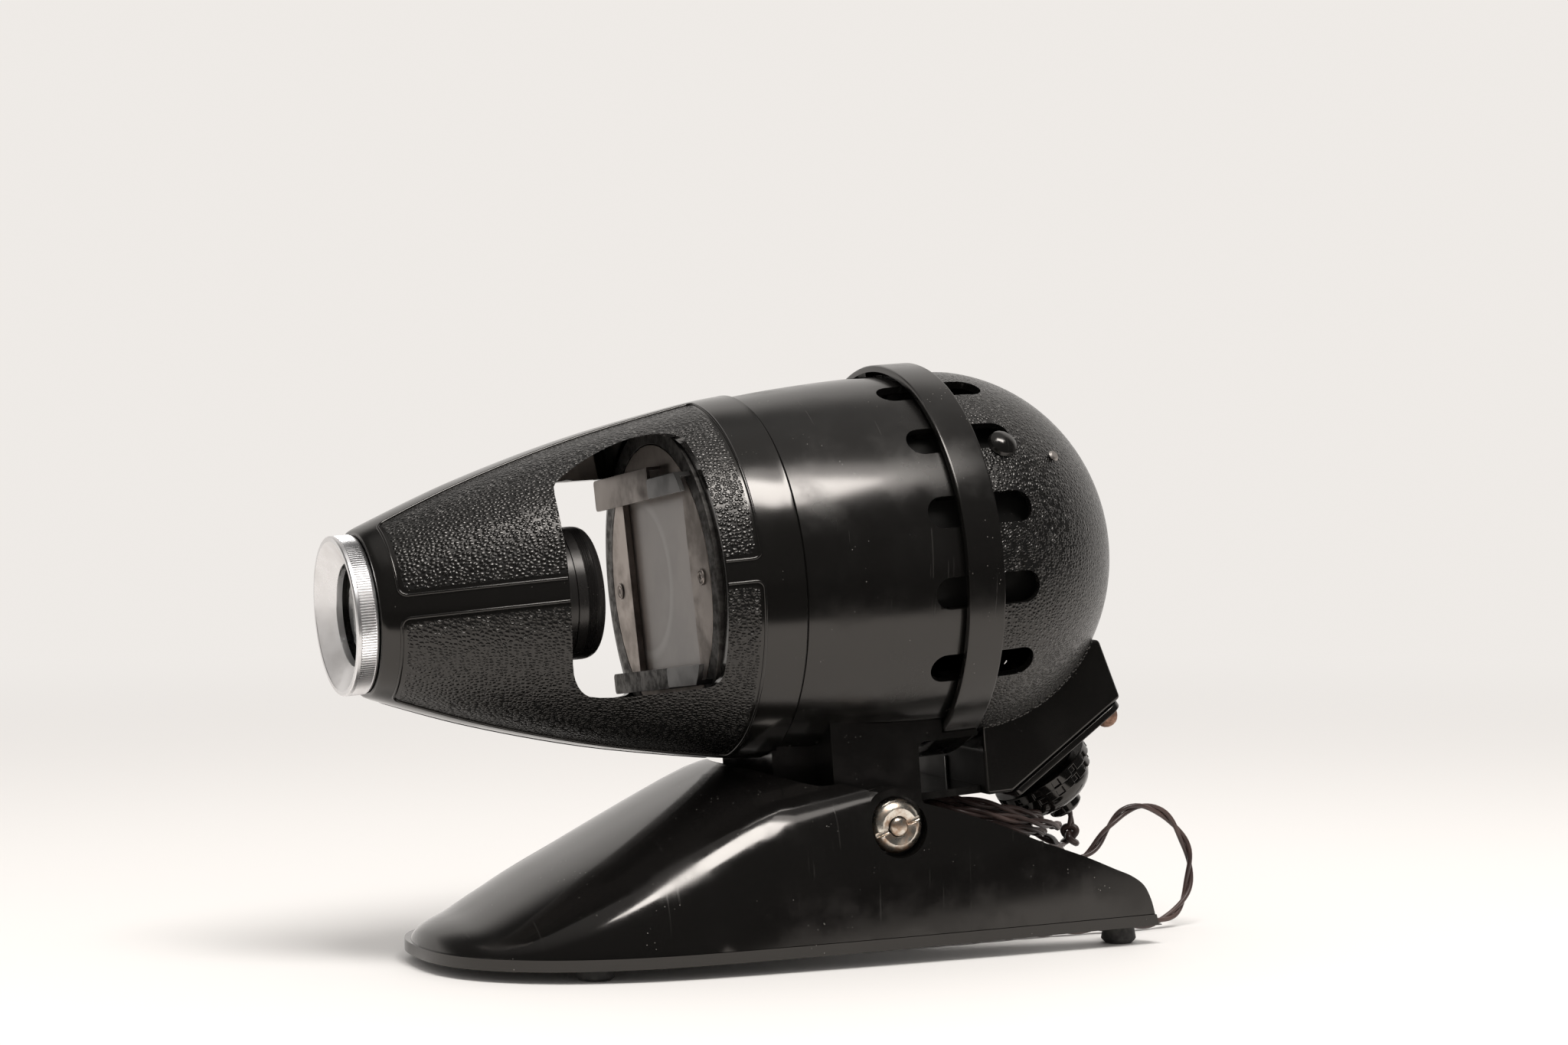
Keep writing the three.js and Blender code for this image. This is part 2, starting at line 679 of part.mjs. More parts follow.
function makeLens() {
  const tubeInner = lensTubeRadius - lensTubeWall;
  const grooveStart = lensBushBack + overrun;
  const grooves = Math.floor((lensTubeBack - grooveStart) / focusPitch) - 2;
  const tubeFront = lensRingLength + fitGap;
  const grooveFloor = lensTubeRadius - focusGrooveDepth;
  const profile = [[tubeFront, tubeInner], [tubeFront, lensTubeRadius]];
  for (let turn = 0; turn < grooves; turn += 1) {
    const at = grooveStart + focusPitch / 2 + turn * focusPitch;
    const end = at + focusGrooveWidth;
    profile.push([at, lensTubeRadius], [at, grooveFloor], [end, grooveFloor], [end, lensTubeRadius]);
  }
  profile.push([lensTubeBack, lensTubeRadius], [lensTubeBack, tubeInner], [tubeFront, tubeInner]);
  addPiece(noseGroup, "lens_tube", turnedSolid(profile, shellSides), "blackMetal");

  const outline = new THREE.Shape();
  for (let i = 0; i < 2 * knurlCount; i += 1) {
    const angle = (Math.PI * i) / knurlCount;
    const radius = lensRingRadius - (i % 2) * knurlDepth;
    const u = radius * Math.cos(angle);
    const v = radius * Math.sin(angle);
    if (i === 0) outline.moveTo(u, v);
    else outline.lineTo(u, v);
  }
  outline.closePath();
  const rim = lensRingRadius - ringRimWidth;
  const aperture = tubeInner - ringApertureInset;
  const dish = turnedSolid([[-overrun, 0], [-overrun, lensRingRadius + overrun], [0, rim], [0, rim - ringRimLand],
    [lensRingLength - ringDishFloor, aperture], [lensRingLength + overrun, aperture],
    [lensRingLength + overrun, 0]], ringSides);
  addPiece(noseGroup, "lens_ring", cut(solidOf(alongX(outline, 0, lensRingLength)), dish), "aluminium");
  const spacer = fitGap + lensTubeWall;
  const glassRadius = tubeInner - fitGap;
  const element = (front, edge, sagFront, sagBack) => {
    const steps = 2;
    const profile = [];
    for (let i = 0; i <= steps; i += 1) {
      const share = i / steps;
      profile.push([front - sagFront * (1 - share * share), share * glassRadius]);
    }
    for (let i = steps; i >= 0; i -= 1) {
      const share = i / steps;
      profile.push([front + edge + sagBack * (1 - share * share), share * glassRadius]);
    }
    return turnedSolid(profile, pieceSides);
  };
  const frontGlassStart = lensRingLength + spacer;
  const frontGlass = element(frontGlassStart, elementEdge, elementDeepSag, elementSlightSag);
  const rearGlass = element(lensTubeBack - rearElementInset, elementEdge, elementSlightSag, elementDeepSag);
  addPiece(noseGroup, "front_element", frontGlass, "glass");
  addPiece(noseGroup, "rear_element", rearGlass, "glass");
  const retainerFront = lensTubeBack - retainerInset;
  const retainer = ring(retainerFront, retainerFront + retainerLength, glassRadius - retainerWidth, glassRadius,
    boreSides);
  addPiece(noseGroup, "rear_retainer", retainer, "blackMetal");
}

function makeStage() {
  const windowHole = solidOf(alongX(shapeOf(rectangle(stageWindow / 2, stageWindow / 2)),
    stageFace - overrun, stageFace + stageThickness + overrun));
  const plate = cut(disc(stageFace, stageFace + stageThickness, stageRadius, ringSides), windowHole);
  addPiece(noseGroup, "slide_stage", plate, "steel");
  const backing = stageFace + stageThickness + fitGap;
  const pane = solidOf(alongX(shapeOf(rectangle(heatGlassSize / 2, heatGlassSize / 2)), backing,
    backing + heatGlassThickness));
  addPiece(noseGroup, "heat_glass", pane, "glass");
  const lipFront = stageFace - railStandoff;
  const boreRadius = noseRadiusAt(lipFront) - noseWall - 2 * fitGap;
  const clearBore = disc(lipFront - overrun, stageFace + overrun, boreRadius, ringSides);
  const angleBar = (low, high, sheet, depth) => {
    const corners = [0, railCorner, railCorner, 0];
    const lip = rounded([[low, railInner], [high, railInner], [high, railInner + depth], [low, railInner + depth]],
      corners);
    return join(
      solidOf(alongX(lip, lipFront - sheet, lipFront)),
      box(lipFront - sheet, stageFace - fitGap, low, high - railCorner, railInner + depth - sheet,
        railInner + depth),
    );
  };
  for (const [name, side, lip] of [["top", 1, railTopLip], ["bottom", -1, railBottomLip]]) {
    const rail = angleBar(railSplit + fitGap, railFarEnd, railSheet, lip);
    const clip = angleBar(-railHalfLength, railSplit, clipSheet, clipDepth).intersect(clearBore);
    addPiece(noseGroup, `slide_rail_${name}`, side > 0 ? rail : rail.mirror([0, 0, 1]), "steel");
    addPiece(noseGroup, `rail_clip_${name}`, side > 0 ? clip : clip.mirror([0, 0, 1]), "blackMetal");
  }
  for (const [hand, side] of [["near", -1], ["far", 1]]) {
    const top = stageFace - stageScrewHeight;
    const screw = turnedSolid([[top, 0], [top + stageScrewEdge, stageScrewTopRadius],
      [stageFace - fitGap, stageScrewRadius], [stageFace - fitGap, 0]], smallSides)
      .translate([0, side * (stageRadius - stageScrewInset), 0]);
    addPiece(noseGroup, `stage_screw_${hand}`, screw, "steel");
  }
  const seatOuter = noseRadiusAt(stageFace) - noseWall - 2 * fitGap;
  const seat = ring(stageFace, stageFace + seatLength, stageRadius + fitGap, seatOuter, ringSides);
  addPiece(noseGroup, "stage_seat", seat, "blackMetal");
}

function makeCondenser() {
  const start = stageFace + stageThickness + heatGlassThickness + 3 * fitGap + condenserClearance;
  const end = start + 2 * condenserLensDepth + 3 * condenserWall;
  const flangeRadius = stageRadius + condenserFlangeOverlap;
  const flangeFront = stageFace + seatLength + fitGap;
  const tube = ring(start, end, condenserRadius + fitGap, condenserRadius + condenserWall, pieceSides);
  const flange = ring(flangeFront, flangeFront + condenserWall, condenserRadius + condenserWall / 2, flangeRadius,
    pieceSides);
  addPiece(headGroup, "condenser_mount", join(tube, flange), "blackMetal");
  const lens = (flatSide, direction) => {
    const steps = 3;
    const profile = [[flatSide, 0], [flatSide, condenserRadius]];
    const rim = condenserLensDepth - condenserSag;
    for (let i = steps; i >= 0; i -= 1) {
      const share = i / steps;
      const depth = rim + condenserSag * (1 - share * share);
      profile.push([flatSide + direction * depth, share * condenserRadius]);
    }
    return turnedSolid(profile, pieceSides);
  };
  addPiece(headGroup, "condenser_front", lens(start + fitGap, 1), "glass");
  addPiece(headGroup, "condenser_rear", lens(end - fitGap, -1), "glass");
}

// Vent slots, cut radially through barrel and cap under the band
const slotAngles = [];
for (let k = -slotsEachSide; k <= slotsEachSide; k += 1) {
  slotAngles.push(k * slotStep);
}
function ventSlots() {
  const half = (slotBack - slotFront) / 2 - slotWidth / 2;
  const middle = (slotBack + slotFront) / 2;
  const shape = new THREE.Shape();
  const endFacets = 4;
  shape.absarc(middle + half, 0, slotWidth / 2, -Math.PI / 2, Math.PI / 2, false);
  shape.absarc(middle - half, 0, slotWidth / 2, Math.PI / 2, (3 * Math.PI) / 2, false);
  shape.closePath();
  const cutter = alongZ(shape, capRadius - 3 * shellWall, capRadius + overrun, endFacets);
  return slotAngles.map((angle) => solidOf(cutter.clone().rotateX(angle)));
}

function makeBarrel(slots) {
  const spigotFront = noseBack - spigotLength;
  const spigotOuter = noseRadiusAt(spigotFront) - noseWall - fitGap;
  const spigotInner = spigotOuter - shellWall;
  const middle = (noseBack + seamStation) / 2;
  const middleRadius = (barrelFrontRadius + barrelBackRadius) / 2 + barrelBulge;
  const front = noseBack + fitGap;
  const profile = [[spigotFront, spigotInner], [spigotFront, spigotOuter], [front, spigotOuter],
    [front, barrelFrontRadius], [middle, middleRadius], [seamStation, barrelBackRadius],
    [seamStation, barrelBackRadius - shellWall], [middle, middleRadius - shellWall],
    [front + shellWall, barrelFrontRadius - shellWall], [front + shellWall, spigotInner],
    [spigotFront, spigotInner]];
  addPiece(headGroup, "lamp_house", cut(turnedSolid(profile, shellSides), ...slots), "bakelite");
}

// The chute's sides, seen along y
const chutePoints = [[chuteFront, chuteBottom], [chuteHeel, chuteBottom], [chuteRear, chuteRearBottom],
  [chuteRear - chuteRearLean, chuteRearTop], [chuteFront, chuteRearTop]];
const slopeAngle = Math.atan2(chuteRearBottom - chuteBottom, chuteRear - chuteHeel);
const slopeLength = Math.hypot(chuteRearBottom - chuteBottom, chuteRear - chuteHeel);
const slopeMiddle = [(chuteHeel + chuteRear) / 2, (chuteBottom + chuteRearBottom) / 2];
// Pieces on the slope are drawn with +X outwards from the plate and +Z up the slope, then turned into place
const ontoSlope = (solid) => solid.rotate([0, 90 - slopeAngle / degrees, 0])
  .translate([slopeMiddle[0], 0, slopeMiddle[1]]);
const domeArc = (radius, steps) => {
  const points = [];
  for (let i = 0; i <= steps; i += 1) {
    const angle = (Math.PI / 2) * (i / steps);
    points.push([domeCentre + domeFlattening * radius * Math.sin(angle), radius * Math.cos(angle)]);
  }
  return points;
};
const domeSteps = 9;
const innerDomeSteps = 4;
function makeCap(slots) {
  const front = seamStation + fitGap;
  const innerRadius = capRadius - shellWall;
  const spigotOuter = barrelBackRadius - shellWall - fitGap - spigotEase;
  const spigotFront = seamStation - spigotLength;
  const outer = turnedSolid([[spigotFront, 0], [spigotFront, spigotOuter], [front, spigotOuter], [front, capRadius],
    ...domeArc(capRadius, domeSteps)], shellSides);
  const chute = solidOf(alongY(rounded(chutePoints, chuteCorners), -chuteHalfWidth, chuteHalfWidth));
  const inner = turnedSolid([[spigotFront - overrun, 0], [spigotFront - overrun, spigotOuter - shellWall],
    [front + shellWall, spigotOuter - shellWall], [front + shellWall, innerRadius],
    ...domeArc(innerRadius, innerDomeSteps)], shellSides);
  const throatShape = shapeOf([
    [chuteFront + shellWall, chuteBottom + shellWall],
    [chuteHeel + throatHeelEase, chuteBottom + shellWall],
    [chuteHeel + overrun, chuteBottom - 2 * overrun],
    [chuteRear + overrun, chuteRearBottom - overrun],
    [chuteRear - shellWall - throatRearEase, chuteRearBottom + throatRearRise],
    [chuteRear - chuteRearLean - shellWall, chuteRearTop - throatTopDrop],
    [chuteFront + shellWall, chuteRearTop],
  ]);
  const throatCut = solidOf(alongY(throatShape, shellWall - chuteHalfWidth, chuteHalfWidth - shellWall));
  let cap = cut(join(outer, chute), inner, throatCut, ...slots);
  for (const side of [-1, 1]) {
    const catchHole = radialPin(catchStation, catchAngle, side, capRadius - 2 * overrun, capRadius + overrun,
      catchStem + fitGap);
    const rivetHole = radialPin(rivetStation, rivetAngle, side, capRadius - 4 * overrun, capRadius + overrun,
      rivetRadius / 2 + fitGap);
    const pocketFloor = capRadius - catchTravel;
    const pocket = radialPin(catchStation, catchAngle, side, pocketFloor, capRadius + overrun,
      catchRadius + fitGap);
    cap = cut(cap, catchHole, pocket, rivetHole);
  }
  addPiece(headGroup, "rear_cap", cap, "grained");
}
// A round pin that points out from the dome's centre line at one station
function radialPin(station, angle, side, low, high, radius, profile) {
  const pin = profile ? turnedSolid(profile, smallSides) : disc(low, high, radius, tinySides);
  const reach = station > domeCentre ? Math.asin((station - domeCentre) / capRadius) : 0;
  const centre = station > domeCentre ? domeCentre : station;
  return pin.rotate([0, 0, side * (90 - reach / degrees)])
    .rotate([(side * angle) / degrees, 0, 0])
    .translate([centre, 0, 0]);
}

function makeBand() {
  let band = ring(bandFront, bandBack, bandInnerRadius, bandOuterRadius, shellSides);
  const low = capRadius + fitGap;
  for (let k = -slotsEachSide; k < slotsEachSide; k += 1) {
    const angle = (k + 0.5) * slotStep;
    const post = box(bandFront + bandPostInset, bandBack - bandPostInset, -bandPostWidth / 2, bandPostWidth / 2,
      low, (bandInnerRadius + bandOuterRadius) / 2).rotate([angle / degrees, 0, 0]);
    band = join(band, post);
  }
  addPiece(headGroup, "band_ring", band, "bakelite");
}

function makeSaddle() {
  const under = Math.sqrt(barrelFrontRadius ** 2 - saddleHalfWidth ** 2);
  const top = saddleOverlap - under;
  const bottom = pivotRise;
  const flangeBottom = -Math.sqrt(bandOuterRadius ** 2 - saddleHalfWidth ** 2) - saddleFlangeUnderBand;
  const sidePlate = new THREE.Shape();
  sidePlate.moveTo(saddleFront, top);
  sidePlate.lineTo(saddleFront, bottom);
  sidePlate.absarc(pivotStation, bottom, legRadius, Math.PI, 2 * Math.PI, false);
  sidePlate.lineTo(saddleBack, bottom);
  sidePlate.lineTo(saddleBack, flangeBottom - saddleCorner);
  sidePlate.quadraticCurveTo(saddleBack, flangeBottom, saddleBack + saddleCorner, flangeBottom);
  sidePlate.lineTo(saddleFlangeBack, flangeBottom);
  sidePlate.lineTo(saddleFlangeBack, top);
  sidePlate.closePath();
  const plateGeometry = alongY(sidePlate, -saddlePlate / 2, saddlePlate / 2, tinySides);
  const plateMiddle = saddleHalfWidth - saddlePlate / 2;
  const plates = [-1, 1].map((side) => solidOf(plateGeometry).translate([0, side * plateMiddle, 0]));
  const pedestalBottom = bridgeOverlap - barrelFrontRadius - pedestalDepth;
  const bridgeBottom = pedestalBottom - bridgeDrop;
  const bridge = box(saddleFront, saddleBack, -saddleHalfWidth, saddleHalfWidth, bridgeBottom, top);
  const pedestalShape = rounded([[pedestalFront, pedestalBottom], [saddleFront + overrun, bridgeBottom],
    [saddleFront + overrun, top], [pedestalFront, top]], [pedestalCorner, 0, 0, 0]);
  const pedestal = solidOf(alongY(pedestalShape, -pedestalHalfWidth, pedestalHalfWidth));
  const tongueTop = chuteBottom + tongueLift + tongueThickness;
  const rearWall = box(saddleBack - saddlePlate, saddleBack, -saddleHalfWidth, saddleHalfWidth,
    tongueTop - tongueThickness, top);
  const tongue = box(saddleBack - saddlePlate, chuteFront - fitGap, -tongueHalfWidth, tongueHalfWidth,
    tongueTop - tongueThickness, tongueTop);
  const tube = disc(-saddleHalfWidth, saddleHalfWidth, pivotRodRadius + saddleTubeWall, pieceSides)
    .rotate([0, 0, 90]).translate([pivotStation, 0, pivotRise]);
  const barrelClear = turnedSolid([[pedestalFront - overrun, 0], [pedestalFront - overrun, noseBackRadius + fitGap],
    [noseBack + 2 * fitGap, noseBackRadius + fitGap], [noseBack + 2 * fitGap, barrelFrontRadius + fitGap],
    [(noseBack + seamStation) / 2, (barrelFrontRadius + barrelBackRadius) / 2 + barrelBulge + fitGap],
    [bandFront - fitGap, barrelBackRadius + fitGap], [bandFront - fitGap, bandOuterRadius + fitGap],
    [saddleFlangeBack + overrun, bandOuterRadius + fitGap], [saddleFlangeBack + overrun, 0]], shellSides);
  const bore = disc(-2 * saddleHalfWidth, 2 * saddleHalfWidth, pivotRodRadius + fitGap / 2, rodSides)
    .rotate([0, 0, 90]).translate([pivotStation, 0, pivotRise]);
  const saddle = join(...plates, bridge, pedestal, rearWall, tongue, tube);
  addPiece(headGroup, "pivot_saddle", cut(saddle, barrelClear, bore), "bakelite");
}

function makeCover() {
  const half = slopeLength / 2 - coverMargin;
  const outside = fitGap + coverThickness;
  const outline = rounded([[-chuteHalfWidth, -half], [chuteHalfWidth, -half], [chuteHalfWidth, half],
    [-chuteHalfWidth, half]], coverCorners);
  const plate = solidOf(alongX(outline, fitGap, outside));
  const hole = disc(-overrun, 2 * overrun, lampCapRadius + lampCapClearance, boreSides)
    .translate([0, 0, holderOffset]);
  addPiece(headGroup, "chute_cover", ontoSlope(cut(plate, hole)), "bakelite");
  const seat = outside + fitGap;
  const dome = [[seat, 0], [seat, coverScrewRadius]];
  const crown = coverScrewStandout - coverScrewRadius;
  for (let i = 0; i <= cornerSteps; i += 1) {
    const angle = (Math.PI / 2) * (i / cornerSteps);
    dome.push([seat + crown + coverScrewRadius * Math.sin(angle), coverScrewRadius * Math.cos(angle)]);
  }
  const screw = turnedSolid(dome, smallSides).translate([0, coverScrewSide, coverScrewUpSlope]);
  addPiece(headGroup, "cover_screw", ontoSlope(screw), "brass");
}

function makeHolder() {
  const outside = fitGap + coverThickness + fitGap;
  const lift = [0, 0, holderOffset];
  const ringTwo = holderRingStart + holderRingLength + fitGap;
  const domeStart = ringTwo + holderRingLength + fitGap;
  const neckStart = domeStart + holderDomeLength;
  const neckEnd = neckStart + holderNeckLength;
  const stem = holderSleeveRadius - fitGap - holderWall;
  const flange = holderSleeveRadius + holderFlangeReach;
  const domeFacets = 5;
  const dome = [];
  for (let i = 0; i <= domeFacets; i += 1) {
    const angle = (Math.PI / 2) * (i / domeFacets) * holderDomeShare;
    dome.push([domeStart + holderDomeLength * Math.sin(angle), holderNeckRadius
      + (holderDomeRadius - holderNeckRadius) * Math.cos(angle)]);
  }
  const profile = [[outside, holderBore], [outside, flange], [outside + holderFlangeThickness, flange],
    [outside + holderFlangeThickness, stem], [domeStart, stem], [domeStart, holderDomeRadius], ...dome.slice(1),
    [neckStart, holderNeckRadius], [neckEnd - holderEdge, holderNeckRadius],
    [neckEnd, holderNeckRadius - holderEdge], [neckEnd, holderBore], [outside, holderBore]];
  const holder = turnedSolid(profile, pieceSides).translate(lift);
  addPiece(headGroup, "lampholder_body", ontoSlope(holder), "bakelite");
  const rings = [["clamp_ring", holderRingStart, holderRingRadius],
    ["lock_ring", ringTwo, holderRingRadius - holderRingStep]];
  for (const [name, start, radius] of rings) {
    const end = start + holderRingLength;
    let notched = ring(start, end, stem + fitGap, radius, 2 * ringNotches);
    for (let k = 0; k < ringNotches; k += 1) {
      const notch = box(start + notchFloor, end + overrun, -notchWidth / 2, notchWidth / 2, radius - notchDepth,
        radius + overrun).rotate([(360 * k) / ringNotches, 0, 0]);
      notched = cut(notched, notch);
    }
    addPiece(headGroup, name, ontoSlope(notched.translate(lift)), "bakelite");
  }
  const cap = disc(fitGap - bulbStart, outside - 2 * fitGap, lampCapRadius, boreSides).translate(lift);
  addPiece(headGroup, "lamp_cap", ontoSlope(cap), "brass");
  const tip = bulbRadius - bulbStart - bulbLength;
  const glass = [[-bulbStart, 0], [-bulbStart, lampCapRadius - lampCapWall],
    [-bulbStart - bulbShoulder, bulbRadius]];
  for (let i = 0; i <= domeFacets; i += 1) {
    const angle = (Math.PI / 2) * (i / domeFacets);
    glass.push([tip - bulbRadius * Math.sin(angle), bulbRadius * Math.cos(angle)]);
  }
  addPiece(headGroup, "lamp_bulb", ontoSlope(turnedSolid(glass, smallSides).translate(lift)), "glass");
  return neckEnd;
}

function makeReflector() {
  const steps = 3;
  const sag = (r) => reflectorSphere - Math.sqrt(reflectorSphere ** 2 - r ** 2);
  const depth = sag(reflectorRadius);
  const front = [];
  const back = [];
  for (let i = 0; i <= steps; i += 1) {
    const r = reflectorRadius * (i / steps);
    front.push([reflectorStation + depth - sag(r), r]);
    back.unshift([reflectorStation + depth - sag(r) + reflectorThickness, r]);
  }
  addPiece(headGroup, "reflector", turnedSolid([...front, ...back], smallSides), "mirror");

  const reach = Math.asin((rivetStation - domeCentre) / capRadius);
  const seat = capRadius - shellWall - 2 * strapThickness;
  const end = [domeCentre + seat * Math.sin(reach), seat * Math.cos(reach) * Math.cos(rivetAngle),
    seat * Math.cos(reach) * Math.sin(rivetAngle)];
  const behind = reflectorStation + depth + reflectorThickness + strapThickness;
  const line = smooth([[end[0], -end[1], end[2]], [behind, -end[1] / 2, end[2] / 2], [behind + fitGap, 0, 0],
    [behind, end[1] / 2, end[2] / 2], end], smallSides);
  const stripRings = line.map((point, i) => {
    const tangent = line[Math.min(i + 1, line.length - 1)].clone().sub(line[Math.max(i - 1, 0)]).normalize();
    const across = new THREE.Vector3(1, 0, 0).cross(tangent).normalize();
    const through = tangent.clone().cross(across);
    return rectangle(strapWidth / 2, strapThickness / 2).map(([u, v]) =>
      point.clone().addScaledVector(across, u).addScaledVector(through, v).toArray());
  });
  addPiece(headGroup, "reflector_strap", solidOf(lofted(stripRings)), "steel");
}

function makeCatches() {
  for (const [hand, side] of [["near", -1], ["far", 1]]) {
    const seat = capRadius + fitGap;
    const stemEnd = capRadius - shellWall - catchReach;
    const button = [[stemEnd, 0], [stemEnd, catchStem], [seat, catchStem], [seat, catchRadius],
      ...catchDomeShares.map(([out, wide]) => [seat + out * catchStandout, wide * catchRadius])];
    const press = radialPin(catchStation, catchAngle, side, 0, 0, 0, button);
    addPiece(headGroup, `catch_button_${hand}`, press, "bakelite");
    const shankEnd = capRadius - shellWall - rivetReach;
    const rivet = [[shankEnd, 0], [shankEnd, rivetRadius / 2], [seat, rivetRadius / 2], [seat, rivetRadius],
      [seat + rivetHeight, rivetTopShare * rivetRadius], [seat + rivetHeight, 0]];
    const head = radialPin(rivetStation, rivetAngle, side, 0, 0, 0, rivet);
    addPiece(headGroup, `reflector_rivet_${hand}`, head, "brass");
  }
}

// Lead: one tube along a smooth line
function tubeAlong(points, diameter, sides) {
  const rings = points.map((point, i) => {
    const before = points[Math.max(i - 1, 0)];
    const after = points[Math.min(i + 1, points.length - 1)];
    return { point, tangent: after.clone().sub(before).normalize() };
  });
  let normal = new THREE.Vector3(0, 1, 0);
  if (Math.abs(rings[0].tangent.y) > 0.9) normal = new THREE.Vector3(0, 0, 1);
  const loops = rings.map(({ point, tangent }) => {
    normal = normal.clone().addScaledVector(tangent, -normal.dot(tangent)).normalize();
    const across = new THREE.Vector3().crossVectors(tangent, normal);
    const loop = [];
    for (let j = 0; j < sides; j += 1) {
      const angle = (2 * Math.PI * j) / sides;
      const p = point.clone().addScaledVector(normal, (diameter / 2) * Math.cos(angle))
        .addScaledVector(across, (diameter / 2) * Math.sin(angle));
      loop.push([p.x, p.y, p.z]);
    }
    return loop;
  });
  return lofted(loops);
}
function hankLine() {
  const loops = hankLoopsPerLayer * hankLayers;
  const climb = hankClimbShare;
  const eased = (value) => THREE.MathUtils.smoothstep(value, -climb, climb);
  const points = [];
  for (let i = 0; i <= loops * hankStepsPerLoop; i += 1) {
    const turn = i / hankStepsPerLoop;
    const layer = Math.min(Math.floor(turn / hankLoopsPerLayer), hankLayers - 1);
    const inLayer = turn - layer * hankLoopsPerLayer;
    const left = hankLoopsPerLayer - inLayer;
    const inward = layer % 2 === 0 ? left : inLayer;
    const radius = hankOuterRadius - inward * hankLoopPitch;
    let level = layer;
    if (layer > 0 && inLayer < climb) level += eased(inLayer) - 1;
    if (layer < hankLayers - 1 && left < climb) level += eased(-left);
    const angle = 2 * Math.PI * turn;
    const run = hankHalfRun * Math.tanh(3 * Math.cos(angle));
    points.push(new THREE.Vector3(run + radius * Math.cos(angle), radius * Math.sin(angle),
      (level - (hankLayers - 1) / 2) * hankLayerPitch));
  }
  const place = new THREE.Matrix4().makeRotationY(hankSlope).setPosition(...hankCentre);
  return points.map((point) => point.applyMatrix4(place));
}
function smooth(points, count) {
  const corners = points.map((p) => new THREE.Vector3(...p));
  return new THREE.CatmullRomCurve3(corners, false, "centripetal").getSpacedPoints(count);
}

function makeLead(neckEnd) {
  const outwards = [Math.sin(slopeAngle), -Math.cos(slopeAngle)];
  const upSlope = [Math.cos(slopeAngle), Math.sin(slopeAngle)];
  const alongNeck = (distance) => toWorld(
    slopeMiddle[0] + outwards[0] * distance + upSlope[0] * holderOffset,
    slopeMiddle[1] + outwards[1] * distance + upSlope[1] * holderOffset,
  );
  const [exitX, exitZ] = alongNeck(neckEnd + fitGap);
  const [nextX, nextZ] = alongNeck(neckEnd + cordDiameter / 2);
  const knotTop = knotHeight + 3 * knotUnit + knotCordDiameter / 2;
  const leadEnd = [knotX + leadLean, 0, knotTop + fitGap];
  const lead = smooth([[exitX, 0, exitZ], [nextX, 0, nextZ], leadEnd], cornerSteps);
  addPiece(baseGroup, "cord_lead", solidOf(tubeAlong(lead, cordDiameter, cordSides)), "cord");

  // The knot is a clover of six overlapping arcs
  const knotAt = (turn) => new THREE.Vector3(
    knotX + knotDepth * knotUnit * Math.sin(3 * turn),
    knotUnit * (Math.sin(turn) + 2 * Math.sin(2 * turn)),
    knotHeight + knotUnit * (2 * Math.cos(2 * turn) - Math.cos(turn)),
  );
  const arcTurn = (2 * Math.PI) / knotArcs;
  const arcs = [];
  for (let arc = 0; arc < knotArcs; arc += 1) {
    const points = [];
    for (let i = 0; i <= knotArcSteps; i += 1) {
      points.push(knotAt(arcTurn * (arc + (i * knotArcShare) / knotArcSteps)));
    }
    arcs.push(solidOf(tubeAlong(points, knotCordDiameter, cordSides)));
  }
  const ball = new THREE.SphereGeometry(knotHeart, tinySides, cordSides).translate(knotX, 0, knotHeight);
  addPiece(baseGroup, "cord_knot", join(solidOf(ball), ...arcs), "cord");

  const hank = hankLine();
  addPiece(baseGroup, "cord_hank", solidOf(tubeAlong(hank, cordDiameter, cordSides)), "cord");

  // The tail starts in line with the hank's first loop and drops behind it to the table
  const backwards = hank[0].clone().sub(hank[1]).normalize();
  const start = hank[0].clone().addScaledVector(backwards, fitGap);
  const straight = start.clone().addScaledVector(backwards, cordDiameter / 2).toArray();
  const beside = (along, across, up) => [start.x + along * cordDiameter, start.y + across * cordDiameter,
    start.z + up * cordDiameter];
  const drop = beside(tailDropShares[0], 0, tailDropShares[1]);
  drop[1] = tailLoop[0][1];
  const entry = plugEntryShares.map(([back, up]) => [plugBackX + back * cordDiameter, 0,
    plugRadius + up * cordDiameter]);
  const route = [straight, ...tailStartShares.map((shares) => beside(...shares)), drop, ...tailLoop, ...floorRun,
    ...entry, [plugBackX + 2 * fitGap, 0, plugRadius]];
  const tail = [start, ...smooth(route, tailSteps)];
  addPiece(baseGroup, "cord_tail", solidOf(tubeAlong(tail, cordDiameter, cordSides)), "cord");
}

function makePlug() {
  const collar = plugLength / 4;
  const face = plugBackX - plugLength;
  const body = turnedSolid([[face, 0], [face, plugRadius - plugEdge], [face + plugEdge, plugRadius],
    [face + collar, plugRadius], [face + 2 * collar, plugWaistShare * plugRadius],
    [plugBackX - plugEdge, plugNeckShare * plugRadius], [plugBackX, plugEntryShare * plugRadius],
    [plugBackX, 0]], pieceSides).translate([0, 0, plugRadius]);
  addPiece(baseGroup, "plug_body", body, "bakelite");
  for (const [hand, side] of [["near", -1], ["far", 1]]) {
    const tip = face - plugPinLength;
    const pin = turnedSolid([[face - fitGap, 0], [face - fitGap, plugPinRadius],
      [tip + plugPinRadius / 2, plugPinRadius], [tip, plugPinRadius / 2], [tip, 0]], smallSides)
      .translate([0, (side * plugPinSpacing) / 2, plugRadius]);
    addPiece(baseGroup, `plug_pin_${hand}`, pin, "brass");
  }
}

makeBase();
makeFeet();
makePivot();
makeNose();
makeLens();
makeStage();
makeCondenser();
const slots = ventSlots();
makeBarrel(slots);
makeCap(slots);
makeBand();
makeSaddle();
makeCover();
const neckEnd = makeHolder();
makeReflector();
makeCatches();
makeLead(neckEnd);
makePlug();

